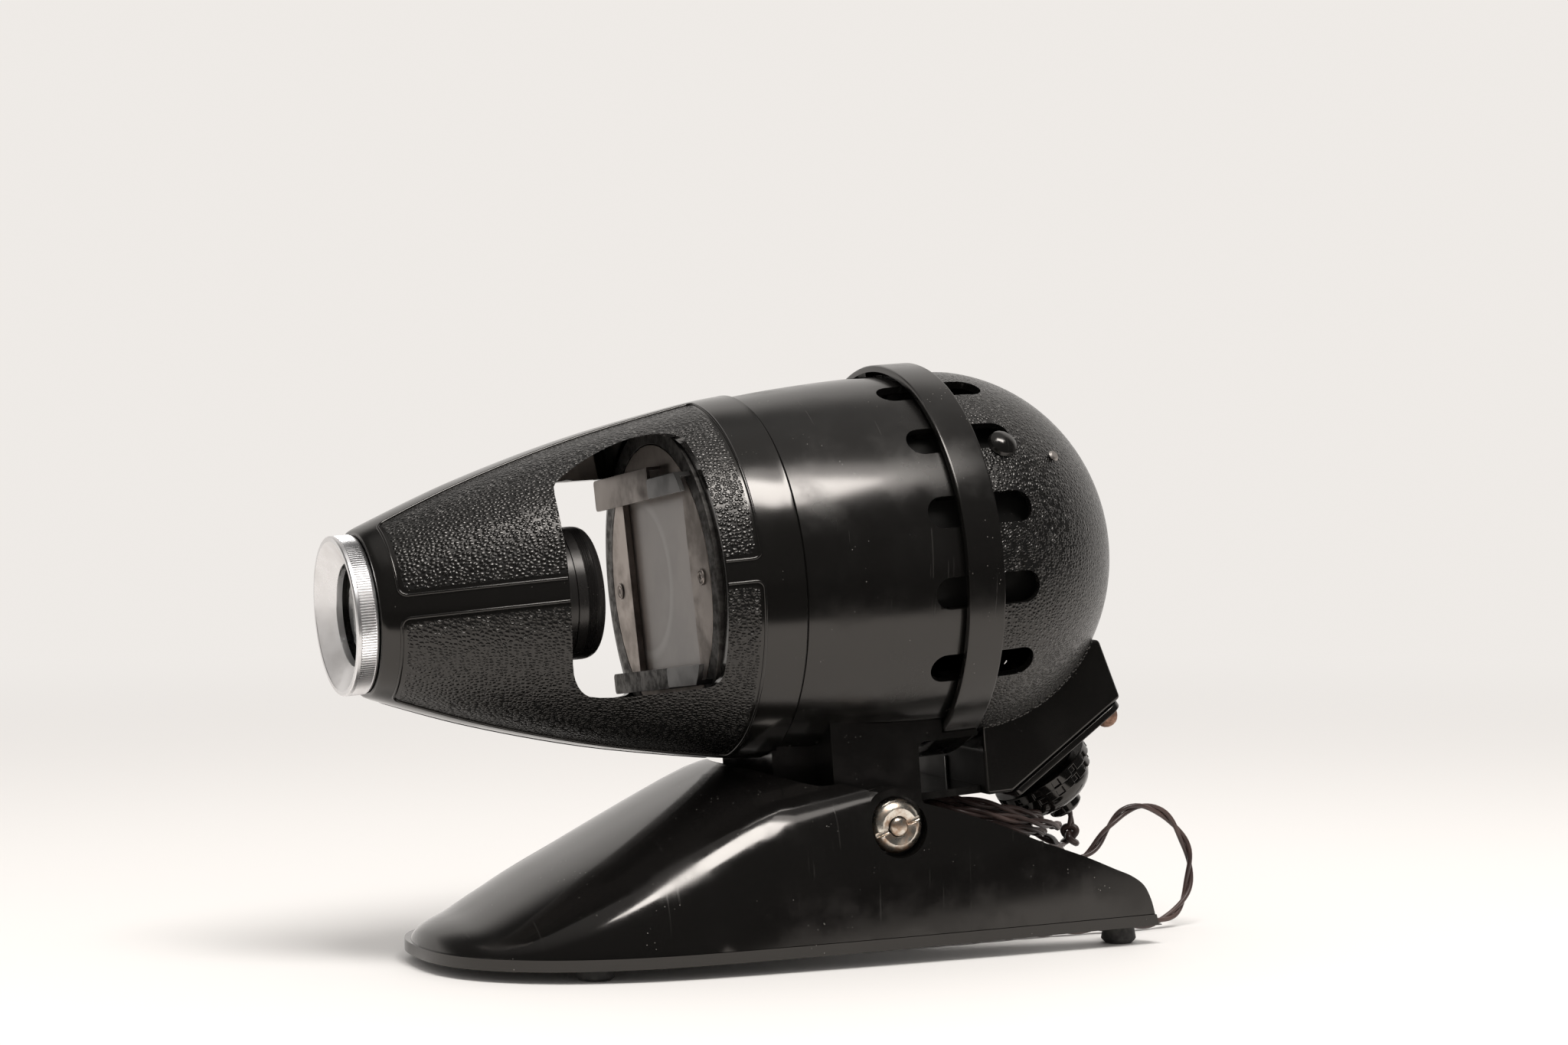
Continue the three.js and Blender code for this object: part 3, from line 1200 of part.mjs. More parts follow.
// The origin lies on the floor under the middle of the projector, its lead left out
projector.updateMatrixWorld(true);
const extent = new THREE.Box3();
projector.traverse((object) => {
  if (object.isMesh && !object.name.startsWith("cord") && !object.name.startsWith("plug")) {
    extent.expandByObject(object, true);
  }
});
projector.position.x = -(extent.min.x + extent.max.x) / 2;

export default projector;
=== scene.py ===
import bmesh
import bpy
import math
from mathutils import Matrix, Vector


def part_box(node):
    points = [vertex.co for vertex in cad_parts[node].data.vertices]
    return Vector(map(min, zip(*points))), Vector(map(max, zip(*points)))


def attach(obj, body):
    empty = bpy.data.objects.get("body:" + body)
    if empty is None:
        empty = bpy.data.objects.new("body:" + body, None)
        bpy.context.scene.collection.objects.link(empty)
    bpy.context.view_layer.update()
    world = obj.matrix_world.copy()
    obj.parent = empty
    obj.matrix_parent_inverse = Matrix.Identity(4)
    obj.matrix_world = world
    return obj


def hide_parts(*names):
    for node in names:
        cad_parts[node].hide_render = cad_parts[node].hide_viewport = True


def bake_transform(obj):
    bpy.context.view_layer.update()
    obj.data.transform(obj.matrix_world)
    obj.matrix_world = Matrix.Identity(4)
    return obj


# A slide projector: a round lamp house with a leather-grained nose tilts on a hollow, boat-shaped base.
# Pieces are drawn in millimetres, in one of three places: AT_BASE has x = 0 at the front of the lens ring
# and z = 0 on the table, AT_HEAD runs along the axis of the lamp house, and AT_NOSE is AT_HEAD rolled a
# little about that axis. A profile is a list of (station along the axis, radius).
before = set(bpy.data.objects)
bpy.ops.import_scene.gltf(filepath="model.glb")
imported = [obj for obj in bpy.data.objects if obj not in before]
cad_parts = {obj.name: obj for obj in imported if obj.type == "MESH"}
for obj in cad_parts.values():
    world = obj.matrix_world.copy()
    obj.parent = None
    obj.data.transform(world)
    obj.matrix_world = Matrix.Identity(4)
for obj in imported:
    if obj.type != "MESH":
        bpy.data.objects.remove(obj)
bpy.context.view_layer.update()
scene = bpy.context.scene
MM = 0.001

RING_TO_BASE = 25.6
RING_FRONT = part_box("base_shell")[0].x * 1000 - RING_TO_BASE
TILT, ROLL, AXIS_HEIGHT = math.radians(4.3), math.radians(6), 111
AT_BASE = Matrix.Scale(MM, 4) @ Matrix.Translation((RING_FRONT, 0, 0))
AT_HEAD = AT_BASE @ Matrix.Translation((0, 0, AXIS_HEIGHT)) @ Matrix.Rotation(-TILT, 4, "Y")
AT_NOSE = AT_HEAD @ Matrix.Rotation(-ROLL, 4, "X")
PIVOT = (169.9, 0, 43.4)


# ---------------------------------------------------------------- camera
def make_camera():
    """The photograph's own view of the projector."""
    data = bpy.data.cameras.new("photo_camera")
    data.sensor_width = 36
    data.lens = 84.66
    data.clip_end = 50
    camera = bpy.data.objects.new("photo_camera", data)
    camera.location = ((-305.2 + RING_FRONT) * MM, -1.1095, 0.1743)
    camera.rotation_euler = (math.radians(90 - 1.71), 0, math.radians(-22.33))
    scene.collection.objects.link(camera)
    scene.camera = camera


# ---------------------------------------------------------------- meshes
def new_piece(name, vertices, faces, place=None, edges=()):
    """A mesh object at the origin, with its place in its mesh."""
    mesh = bpy.data.meshes.new(name)
    mesh.from_pydata([tuple(v) for v in vertices], list(edges), faces)
    if place is not None:
        mesh.transform(place)
    mesh.update()
    piece = bpy.data.objects.new(name, mesh)
    scene.collection.objects.link(piece)
    return piece


def turn_outwards(piece):
    """Merges doubles and turns all faces outwards."""
    work = bmesh.new()
    work.from_mesh(piece.data)
    bmesh.ops.remove_doubles(work, verts=work.verts, dist=1e-7)
    bmesh.ops.recalc_face_normals(work, faces=work.faces)
    work.to_mesh(piece.data)
    work.free()
    return piece


def revolved(name, profile, sides, place=None):
    """A closed profile turned round the x axis; a point on the axis becomes one pole."""
    turns = [2 * math.pi * k / sides for k in range(sides)]
    vertices, faces, rows = [], [], []
    for station, radius in profile:
        if radius < 1e-6:
            rows.append([len(vertices)] * sides)
            vertices.append((station, 0, 0))
        else:
            rows.append([len(vertices) + k for k in range(sides)])
            vertices += [(station, radius * math.sin(a), radius * math.cos(a)) for a in turns]
    for here, after in zip(rows, rows[1:] + rows[:1]):
        for k in range(sides):
            m = (k + 1) % sides
            corners = list(dict.fromkeys((here[k], here[m], after[m], after[k])))
            if len(corners) > 2:
                faces.append(corners)
    return turn_outwards(new_piece(name, vertices, faces, place))


def prism(name, outline, low, high, along="y"):
    """An outline of (x, z) drawn out along y, or of (x, y) drawn out along z."""
    count = len(outline)
    ends = []
    for level in (low, high):
        ends += [(u, level, v) if along == "y" else (u, v, level) for u, v in outline]
    faces = [list(range(count)), list(range(2 * count - 1, count - 1, -1))]
    faces += [[k, count + k, count + (k + 1) % count, (k + 1) % count] for k in range(count)]
    return turn_outwards(new_piece(name, ends, faces))


def rounded_outline(points):
    """A closed outline with every corner cut off twice, a quarter of the way along its sides."""
    for _ in range(2):
        points = [(u + share * (nu - u), v + share * (nv - v))
                  for (u, v), (nu, nv) in zip(points, points[1:] + points[:1]) for share in (0.25, 0.75)]
    return points


def bake_modifiers(piece):
    """Keeps what the modifiers make as the piece's plain mesh."""
    bpy.context.view_layer.update()
    depsgraph = bpy.context.evaluated_depsgraph_get()
    mesh = bpy.data.meshes.new_from_object(piece.evaluated_get(depsgraph))
    piece.modifiers.clear()
    old = piece.data
    piece.data = mesh
    bpy.data.meshes.remove(old)
    mesh.name = piece.name
    return piece


def carve(piece, operation, *tools):
    """Cuts or joins the tools one by one and deletes them."""
    for tool in tools:
        step = piece.modifiers.new(operation.lower(), "BOOLEAN")
        step.operation = operation
        step.solver = "EXACT"
        step.object = tool
        bake_modifiers(piece)
        bpy.data.objects.remove(tool)
    return piece


def smooth_by_angle(piece, degrees=35, flat_faces=True):
    """Smooth shading up to an angle; large faces stay flat right up to their softened edges."""
    for face in piece.data.polygons:
        face.use_smooth = True
    piece.data.set_sharp_from_angle(angle=math.radians(degrees))
    if flat_faces:
        step = piece.modifiers.new("flat_faces", "WEIGHTED_NORMAL")
        step.keep_sharp = True
        step.weight = 80
        bake_modifiers(piece)
    return piece


def soften_edges(piece, width, angle=40, segments=2):
    """Rounds the edges that are sharper than an angle."""
    step = piece.modifiers.new("edge", "BEVEL")
    step.width = width * MM
    step.segments = segments
    step.limit_method = "ANGLE"
    step.angle_limit = math.radians(angle)
    step.use_clamp_overlap = True
    step.harden_normals = False
    return bake_modifiers(piece)


def finish_piece(piece, material, body, slot, *stands_for):
    """Material and body, and the CAD nodes whose place the piece takes; the slot argument is not used."""
    piece.data.materials.clear()
    piece.data.materials.append(material)
    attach(piece, body)
    if stands_for:
        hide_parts(*stands_for)


def redrawn(node, material, body, slot, width, turn=None):
    """A CAD node's own form, merged, with softened edges and smooth shading."""
    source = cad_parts[node]
    piece = bpy.data.objects.new(node + "_finished", source.data.copy())
    scene.collection.objects.link(piece)
    work = bmesh.new()
    work.from_mesh(piece.data)
    bmesh.ops.remove_doubles(work, verts=work.verts, dist=2e-6)
    bmesh.ops.dissolve_limit(work, angle_limit=math.radians(0.6), verts=work.verts, edges=work.edges)
    work.to_mesh(piece.data)
    work.free()
    if turn is not None:
        piece.data.transform(turn)
    if width:
        soften_edges(piece, width, 35)
    smooth_by_angle(piece)
    finish_piece(piece, material, body, slot, node)


# ---------------------------------------------------------------- geometry trees
def new_tree(name, *inputs):
    """A Geometry Nodes tree with named inputs for its sizes, its shape and its material."""
    tree = bpy.data.node_groups.new(name, "GeometryNodeTree")
    tree.interface.new_socket("Geometry", in_out="INPUT", socket_type="NodeSocketGeometry")
    for label, kind in (*inputs, ("Material", "NodeSocketMaterial")):
        tree.interface.new_socket(label, in_out="INPUT", socket_type=kind)
    tree.interface.new_socket("Geometry", in_out="OUTPUT", socket_type="NodeSocketGeometry")
    return tree, tree.nodes.new("NodeGroupInput").outputs


def close_tree(tree, made, given):
    """The last two steps of each tree: real geometry, then its material."""
    real = tree.nodes.new("GeometryNodeRealizeInstances")
    paint = tree.nodes.new("GeometryNodeSetMaterial")
    tree.links.new(made, real.inputs[0])
    tree.links.new(real.outputs[0], paint.inputs["Geometry"])
    tree.links.new(given["Material"], paint.inputs["Material"])
    tree.links.new(paint.outputs[0], tree.nodes.new("NodeGroupOutput").inputs["Geometry"])
    return tree


def make_round_tree():
    """Copies of one shape set round the x axis, one turn step apart."""
    tree, given = new_tree("set_round_axis", ("Count", "NodeSocketInt"), ("First turn", "NodeSocketFloat"),
                           ("Turn step", "NodeSocketFloat"))
    points = tree.nodes.new("GeometryNodePoints")
    tree.links.new(given["Count"], points.inputs["Count"])
    turn = calc(tree, "MULTIPLY", tree.nodes.new("GeometryNodeInputIndex").outputs[0], given["Turn step"])
    turn = calc(tree, "ADD", turn, given["First turn"])
    spin = tree.nodes.new("ShaderNodeCombineXYZ")
    tree.links.new(turn, spin.inputs["X"])
    copies = tree.nodes.new("GeometryNodeInstanceOnPoints")
    tree.links.new(points.outputs[0], copies.inputs["Points"])
    tree.links.new(given["Geometry"], copies.inputs["Instance"])
    tree.links.new(spin.outputs[0], copies.inputs["Rotation"])
    return close_tree(tree, copies.outputs[0], given)


def make_bead_tree():
    """A round bead along each line of edges, closed at its ends."""
    tree, given = new_tree("bead_on_line", ("Radius", "NodeSocketFloat"), ("Sides", "NodeSocketInt"))
    line = tree.nodes.new("GeometryNodeMeshToCurve")
    tree.links.new(given["Geometry"], line.inputs["Mesh"])
    circle = tree.nodes.new("GeometryNodeCurvePrimitiveCircle")
    tree.links.new(given["Sides"], circle.inputs["Resolution"])
    tree.links.new(given["Radius"], circle.inputs["Radius"])
    sweep = tree.nodes.new("GeometryNodeCurveToMesh")
    sweep.inputs["Fill Caps"].default_value = True
    tree.links.new(line.outputs[0], sweep.inputs["Curve"])
    tree.links.new(circle.outputs[0], sweep.inputs["Profile Curve"])
    return close_tree(tree, sweep.outputs[0], given)


def grown(piece, tree, **values):
    """Runs a tree on a piece and keeps what it makes as the piece's plain mesh."""
    step = piece.modifiers.new(tree.name, "NODES")
    step.node_group = tree
    for item in tree.interface.items_tree:
        label = item.name.replace(" ", "_")
        if item.in_out == "INPUT" and label in values:
            step[item.identifier] = values[label]
    return bake_modifiers(piece)


# ---------------------------------------------------------------- shader groups
def new_group(name, inputs, outputs):
    """A shader node group; an input without a value is a place."""
    group = bpy.data.node_groups.new(name, "ShaderNodeTree")
    for label, value in inputs:
        kind = "NodeSocketVector" if value is None else "NodeSocketFloat"
        socket = group.interface.new_socket(label, in_out="INPUT", socket_type=kind)
        if value is not None:
            socket.default_value = value
    for label, kind in outputs:
        group.interface.new_socket(label, in_out="OUTPUT", socket_type=kind)
    return group, group.nodes.new("NodeGroupInput"), group.nodes.new("NodeGroupOutput")


def calc(tree, operation, first, second=None, clamp=False):
    """A sum on numbers or sockets."""
    node = tree.nodes.new("ShaderNodeMath")
    node.operation = operation
    node.use_clamp = clamp
    for socket, value in zip(node.inputs, (first, second)):
        if value is None:
            continue
        if isinstance(value, (int, float)):
            socket.default_value = value
        else:
            tree.links.new(value, socket)
    return node.outputs[0]


def between(tree, value, low, high, out_low=0.0, out_high=1.0):
    """A smooth step from one output to the other while the value goes from low to high."""
    node = tree.nodes.new("ShaderNodeMapRange")
    node.interpolation_type = "SMOOTHSTEP"
    tree.links.new(value, node.inputs["Value"])
    for label, number in (("From Min", low), ("From Max", high), ("To Min", out_low), ("To Max", out_high)):
        if isinstance(number, (int, float)):
            node.inputs[label].default_value = number
        else:
            tree.links.new(number, node.inputs[label])
    return node.outputs["Result"]


def object_place(tree):
    return tree.nodes.new("ShaderNodeTexCoord").outputs["Object"]


def place_in(tree, frame_matrix):
    """Object coordinates turned into one of the frames, in its millimetres, and split."""
    where, turn, size = frame_matrix.inverted().decompose()
    node = tree.nodes.new("ShaderNodeMapping")
    node.inputs["Location"].default_value = where
    node.inputs["Rotation"].default_value = turn.to_euler()
    node.inputs["Scale"].default_value = size
    tree.links.new(object_place(tree), node.inputs["Vector"])
    split = tree.nodes.new("ShaderNodeSeparateXYZ")
    tree.links.new(node.outputs[0], split.inputs[0])
    return split.outputs


def noise(tree, place, scale, detail=3.0, roughness=0.5):
    node = tree.nodes.new("ShaderNodeTexNoise")
    node.inputs["Detail"].default_value = detail
    node.inputs["Roughness"].default_value = roughness
    if isinstance(scale, (int, float)):
        node.inputs["Scale"].default_value = scale
    else:
        tree.links.new(scale, node.inputs["Scale"])
    tree.links.new(place, node.inputs["Vector"])
    return node.outputs["Fac"]


def make_handling_group():
    """Rubbed and dusty places: softer gloss in patches, fine hairline scratches and specks."""
    group, given, result = new_group(
        "handling_marks", [("Patch size", 60.0), ("Scratches", 0.5), ("Dust", 0.5)],
        [("Dullness", "NodeSocketFloat"), ("Scratch", "NodeSocketFloat"), ("Speck", "NodeSocketFloat")])
    place = object_place(group)
    patches = noise(group, place, given.outputs["Patch size"], 4.0, 0.6)
    group.links.new(between(group, patches, 0.42, 0.72), result.inputs["Dullness"])
    lines = []
    for turn, stretch in ((0.5, 900.0), (1.9, 1300.0), (2.7, 700.0)):
        mapping = group.nodes.new("ShaderNodeMapping")
        mapping.inputs["Rotation"].default_value = (turn, 0.4 * turn, 1.3 * turn)
        mapping.inputs["Scale"].default_value = (stretch, 18.0, 18.0)
        group.links.new(place, mapping.inputs["Vector"])
        thread = noise(group, mapping.outputs["Vector"], 1.0, 1.0, 0.4)
        lines.append(between(group, thread, 0.735, 0.76))
    both = calc(group, "MAXIMUM", calc(group, "MAXIMUM", lines[0], lines[1]), lines[2])
    broken = between(group, noise(group, place, 90.0, 2.0), 0.5, 0.62)
    scratch = calc(group, "MULTIPLY", calc(group, "MULTIPLY", both, broken), given.outputs["Scratches"])
    group.links.new(scratch, result.inputs["Scratch"])
    cells = group.nodes.new("ShaderNodeTexVoronoi")
    cells.inputs["Scale"].default_value = 620.0
    group.links.new(place, cells.inputs["Vector"])
    dots = between(group, cells.outputs["Distance"], 0.06, 0.1, 1.0, 0.0)
    here = between(group, noise(group, place, 70.0, 3.0, 0.7), 0.56, 0.64)
    speck = calc(group, "MULTIPLY", calc(group, "MULTIPLY", dots, here), given.outputs["Dust"])
    group.links.new(speck, result.inputs["Speck"])
    return group


GRAIN_SCALE = 850.0


def make_leather_group():
    """Moulded leather grain: small even pebbles, each a low dome with a narrow valley round it."""
    group, given, result = new_group(
        "leather_grain", [("Place", None), ("Scale", GRAIN_SCALE), ("Randomness", 0.9)],
        [("Height", "NodeSocketFloat"), ("Valley", "NodeSocketFloat")])
    place = given.outputs["Place"]
    fields = []
    for feature in ("F1", "DISTANCE_TO_EDGE"):
        cells = group.nodes.new("ShaderNodeTexVoronoi")
        cells.feature = feature
        group.links.new(place, cells.inputs["Vector"])
        group.links.new(given.outputs["Scale"], cells.inputs["Scale"])
        group.links.new(given.outputs["Randomness"], cells.inputs["Randomness"])
        fields.append(cells.outputs["Distance"])
    to_middle, to_edge = fields
    reach = calc(group, "DIVIDE", to_middle, 0.66)
    dome = calc(group, "MAXIMUM", calc(group, "SUBTRACT", 1.0, calc(group, "MULTIPLY", reach, reach)), 0.0)
    rim = between(group, to_edge, 0.0, 0.3)
    round_rim = calc(group, "SUBTRACT", 1.0, calc(group, "POWER", calc(group, "SUBTRACT", 1.0, rim), 2.0))
    group.links.new(calc(group, "MULTIPLY", dome, round_rim), result.inputs["Height"])
    group.links.new(calc(group, "SUBTRACT", 1.0, rim), result.inputs["Valley"])
    return group


ROUND = make_round_tree()
BEAD = make_bead_tree()
HANDLING = make_handling_group()
LEATHER = make_leather_group()


def use_group(tree, group, **values):
    """A group placed in a material, with the material's own values."""
    node = tree.nodes.new("ShaderNodeGroup")
    node.node_tree = group
    for label, value in values.items():
        node.inputs[label.replace("_", " ")].default_value = value
    return node


def mix_colour(tree, factor, first, second):
    node = tree.nodes.new("ShaderNodeMixRGB")
    for socket, value in zip(node.inputs, (factor, first, second)):
        if isinstance(value, (int, float)):
            socket.default_value = value
        elif isinstance(value, tuple):
            socket.default_value = (*value, 1.0)
        else:
            tree.links.new(value, socket)
    return node.outputs[0]


def new_material(name, colour, roughness, metallic=0.0, **sockets):
    """A material, its tree and its shader with plain values on the sockets."""
    material = bpy.data.materials.new(name)
    material.use_nodes = True
    tree = material.node_tree
    shader = tree.nodes["Principled BSDF"]
    shader.inputs["Base Color"].default_value = (*colour, 1.0)
    shader.inputs["Roughness"].default_value = roughness
    shader.inputs["Metallic"].default_value = metallic
    for label, value in sockets.items():
        shader.inputs[label.replace("_", " ")].default_value = value
    return material, tree, shader


def bump(tree, shader, height, distance, strength=1.0, before=None):
    """Relief of a height in millimetres, on top of an earlier one."""
    node = tree.nodes.new("ShaderNodeBump")
    node.inputs["Distance"].default_value = distance * MM
    node.inputs["Strength"].default_value = strength
    tree.links.new(height, node.inputs["Height"])
    if before is not None:
        tree.links.new(before, node.inputs["Normal"])
    tree.links.new(node.outputs["Normal"], shader.inputs["Normal"])
    return node.outputs["Normal"]


def bakelite(name, roughness, spread, scratches, dust, patch, colour=(0.0042, 0.0039, 0.0036), gloss=0.5):
    """Black phenolic moulding with rubbed gloss, hairlines and dust."""
    material, tree, shader = new_material(name, colour, roughness, IOR=1.58)
    shader.inputs["Specular Tint"].default_value = (1, 0.95, 0.9, 1)
    shader.inputs["Specular IOR Level"].default_value = gloss
    marks = use_group(tree, HANDLING, Patch_size=patch, Scratches=scratches, Dust=dust)
    scratch, speck = marks.outputs["Scratch"], marks.outputs["Speck"]
    dull = calc(tree, "MULTIPLY", marks.outputs["Dullness"], spread)
    rough = calc(tree, "ADD", roughness, calc(tree, "ADD", dull, calc(tree, "MULTIPLY", scratch, 0.25)))
    rough = calc(tree, "ADD", rough, calc(tree, "MULTIPLY", speck, 0.5), clamp=True)
    tree.links.new(rough, shader.inputs["Roughness"])
    worn = mix_colour(tree, calc(tree, "MULTIPLY", scratch, 0.35), colour, (0.08, 0.075, 0.07))
    dusty = mix_colour(tree, calc(tree, "MULTIPLY", speck, 0.7), worn, (0.34, 0.32, 0.29))
    tree.links.new(dusty, shader.inputs["Base Color"])
    waves = bump(tree, shader, noise(tree, object_place(tree), 38.0, 2.0), 0.04, 0.5)
    bump(tree, shader, scratch, 0.02, 0.5, waves)
    return material


def grained(name, panel_map=False):
    """Bakelite with a leather grain, only inside the panels or on the dome behind the band."""
    colour = (0.0045, 0.0042, 0.0038)
    material, tree, shader = new_material(name, colour, 0.3, IOR=1.58)
    shader.inputs["Specular Tint"].default_value = (1, 0.95, 0.9, 1)
    marks = use_group(tree, HANDLING, Patch_size=48.0, Scratches=0.5, Dust=0.5)
    leather = use_group(tree, LEATHER, Scale=GRAIN_SCALE, Randomness=0.9)
    if panel_map:
        flat = tree.nodes.new("ShaderNodeUVMap")
        flat.uv_map = "grain"
        spread = tree.nodes.new("ShaderNodeMapping")
        spread.inputs["Location"].default_value = (0, 0, 0.45 / GRAIN_SCALE)
        spread.inputs["Scale"].default_value = (1, 0.86, 1)
        tree.links.new(flat.outputs["UV"], spread.inputs["Vector"])
        tree.links.new(spread.outputs[0], leather.inputs["Place"])
        depth = tree.nodes.new("ShaderNodeUVMap")
        depth.uv_map = "panel"
        split = tree.nodes.new("ShaderNodeSeparateXYZ")
        tree.links.new(depth.outputs["UV"], split.inputs[0])
        inside = between(tree, split.outputs["X"], 0.0012, 0.002)
    else:
        tree.links.new(object_place(tree), leather.inputs["Place"])
        along, side, up = place_in(tree, AT_HEAD)
        past = calc(tree, "MAXIMUM", calc(tree, "DIVIDE", calc(tree, "SUBTRACT", along, 203), 0.955), 0.0)
        square = calc(tree, "ADD", calc(tree, "MULTIPLY", side, side), calc(tree, "MULTIPLY", up, up))
        reach = calc(tree, "SQRT", calc(tree, "ADD", square, calc(tree, "MULTIPLY", past, past)))
        inside = between(tree, reach, 62.0, 62.4, 1.0, 0.0)
        inside = calc(tree, "MULTIPLY", inside, between(tree, reach, 61.0, 61.3))
        inside = calc(tree, "MULTIPLY", inside, between(tree, along, 199.5, 200.5))
    height = calc(tree, "MULTIPLY", leather.outputs["Height"], inside)
    valley = calc(tree, "MULTIPLY", leather.outputs["Valley"], inside)
    dull = calc(tree, "MULTIPLY", marks.outputs["Dullness"], 0.06)
    rough = calc(tree, "ADD", 0.15, calc(tree, "ADD", dull, calc(tree, "MULTIPLY", valley, 0.15)))
    if not panel_map:
        low = between(tree, up, -63.0, -61.5, 1.0, 0.0)
        wall = calc(tree, "MULTIPLY", low, between(tree, along, 204.8, 205.3, 1.0, 0.0))
        rough = calc(tree, "ADD", rough, calc(tree, "MULTIPLY", wall, 0.5))
    tree.links.new(rough, shader.inputs["Roughness"])
    # Painted shade: the grain's valleys get a slightly darker, greyer colour; the dust specks go on top.
    valley_painted_shade = mix_colour(tree, valley, colour, (0.004, 0.004, 0.004))
    dusty = mix_colour(tree, calc(tree, "MULTIPLY", marks.outputs["Speck"], 0.6), valley_painted_shade, (0.3, 0.28, 0.25))
    tree.links.new(dusty, shader.inputs["Base Color"])
    bump(tree, shader, height, 0.2, 1.0)
    return material


def tarnished(name, bright, dark, roughness, scale, scratches=0.6):
    """Plated metal gone dull in clouds, with hairlines."""
    material, tree, shader = new_material(name, bright, roughness, 1.0)
    marks = use_group(tree, HANDLING, Patch_size=scale, Scratches=scratches, Dust=0.3)
    place = object_place(tree)
    cloud = between(tree, noise(tree, place, scale * 2.2, 5.0, 0.65), 0.38, 0.68)
    tree.links.new(mix_colour(tree, cloud, bright, dark), shader.inputs["Base Color"])
    rough = calc(tree, "ADD", roughness, calc(tree, "MULTIPLY", cloud, 0.2))
    rough = calc(tree, "ADD", rough, calc(tree, "MULTIPLY", marks.outputs["Dullness"], 0.12), clamp=True)
    tree.links.new(rough, shader.inputs["Roughness"])
    bump(tree, shader, marks.outputs["Scratch"], 0.03, 0.6)
    return material


def clear_glass(name, colour):
    """Clear glass with a thin film of dust."""
    material, tree, shader = new_material(name, colour, 0.0, IOR=1.52, Transmission_Weight=1.0)
    marks = use_group(tree, HANDLING, Patch_size=70.0, Scratches=0.1, Dust=0.4)
    tree.links.new(calc(tree, "MULTIPLY", marks.outputs["Dullness"], 0.06), shader.inputs["Roughness"])
    return material


def dusty_pane():
    """Heat glass behind the slide, milky with dust, with soft lighter arcs that are a painted highlight."""
    material, tree, shader = new_material("dusty_pane", (0.28, 0.24, 0.21), 0.3, Transmission_Weight=0.1)
    _, side, up = place_in(tree, AT_NOSE)
    squares = [calc(tree, "POWER", calc(tree, "SUBTRACT", socket, middle), 2.0)
               for socket, middle in ((side, 22.0), (up, 3.0))]
    arc_reach = calc(tree, "SQRT", calc(tree, "ADD", *squares))
    # Painted highlight: a soft ring of lighter colour round the glass's middle, mixed over the dust film.
    ring = calc(tree, "MULTIPLY", between(tree, arc_reach, 23.0, 24.6), between(tree, arc_reach, 25.0, 28.0, 1.0, 0.0))
    cloud = between(tree, noise(tree, object_place(tree), 60.0, 3.0), 0.35, 0.7)
    film = mix_colour(tree, cloud, (0.3, 0.255, 0.228), (0.25, 0.21, 0.187))
    film_and_painted_highlight = mix_colour(tree, calc(tree, "MULTIPLY", ring, 0.4), film, (0.52, 0.5, 0.47))
    tree.links.new(film_and_painted_highlight, shader.inputs["Base Color"])
    return material


def rubber():
    """Black rubber with a pale bloom."""
    material, tree, shader = new_material("black_rubber", (0.018, 0.017, 0.016), 0.62)
    place = object_place(tree)
    bloom = between(tree, noise(tree, place, 260.0, 4.0), 0.4, 0.7)
    pale = mix_colour(tree, bloom, (0.016, 0.015, 0.014), (0.05, 0.047, 0.043))
    tree.links.new(pale, shader.inputs["Base Color"])
    bump(tree, shader, noise(tree, place, 1500.0, 2.0), 0.05, 0.6)
    return material


def flex_cover():
    """Brown twin flex with a soft shine and darker handled stretches."""
    material, tree, shader = new_material("brown_flex", (0.055, 0.032, 0.026), 0.34)
    place = object_place(tree)
    cloud = between(tree, noise(tree, place, 55.0, 3.0), 0.35, 0.7)
    brown = mix_colour(tree, cloud, (0.03, 0.018, 0.016), (0.085, 0.052, 0.044))
    tree.links.new(brown, shader.inputs["Base Color"])
    tree.links.new(calc(tree, "ADD", 0.28, calc(tree, "MULTIPLY", cloud, 0.2)), shader.inputs["Roughness"])
    bump(tree, shader, noise(tree, place, 900.0, 2.0), 0.03, 0.5)
    return material


FINISH = {
    "base": bakelite("base_moulding", 0.09, 0.12, 0.25, 1.2, 42.0),
    "barrel": bakelite("barrel_moulding", 0.17, 0.12, 0.35, 0.9, 50.0),
    "small": bakelite("small_mouldings", 0.15, 0.08, 0.3, 0.3, 80.0),
    "holder": bakelite("holder_moulding", 0.1, 0.08, 0.3, 0.3, 90.0),
    "nose": grained("nose_moulding", panel_map=True),
    "dome": grained("dome_moulding"),
    "rubber": rubber(),
    "satin": bakelite("satin_black", 0.27, 0.1, 0.5, 0.4, 80.0, (0.012, 0.011, 0.0105)),
    "ring": tarnished("turned_aluminium", (0.74, 0.73, 0.73), (0.7, 0.685, 0.68), 0.24, 30.0, 0.3),
    "plate": tarnished("tarnished_stage", (0.37, 0.325, 0.295), (0.27, 0.237, 0.213), 0.42, 24.0, 0.4),
    "rail": tarnished("tarnished_rail", (0.2, 0.175, 0.157), (0.14, 0.12, 0.107), 0.36, 22.0, 0.4),
    "casting": tarnished("dark_casting", (0.1, 0.094, 0.088), (0.05, 0.046, 0.043), 0.5, 140.0, 0.2),
    "copper": tarnished("worn_copper", (0.36, 0.22, 0.16), (0.2, 0.12, 0.085), 0.4, 160.0),
    "pane": dusty_pane(),
    "nickel": tarnished("worn_nickel", (0.74, 0.69, 0.61), (0.42, 0.28, 0.19), 0.2, 120.0),
    "steel": tarnished("tarnished_plate", (0.5, 0.47, 0.44), (0.3, 0.27, 0.25), 0.3, 70.0),
    "brass": tarnished("dull_brass", (0.66, 0.5, 0.28), (0.3, 0.21, 0.12), 0.3, 160.0),
    "mirror": tarnished("silvered_dish", (0.3, 0.29, 0.28), (0.16, 0.15, 0.14), 0.25, 60.0, 0.1),
    "black_metal": bakelite("black_lacquer", 0.28, 0.1, 0.3, 0.3, 90.0, (0.006, 0.0058, 0.0055), 0.3),
    "glass": clear_glass("optical_glass", (0.93, 0.96, 0.94)),
    "bulb": clear_glass("bulb_glass", (0.96, 0.96, 0.95)),
    "flex": flex_cover(),
}


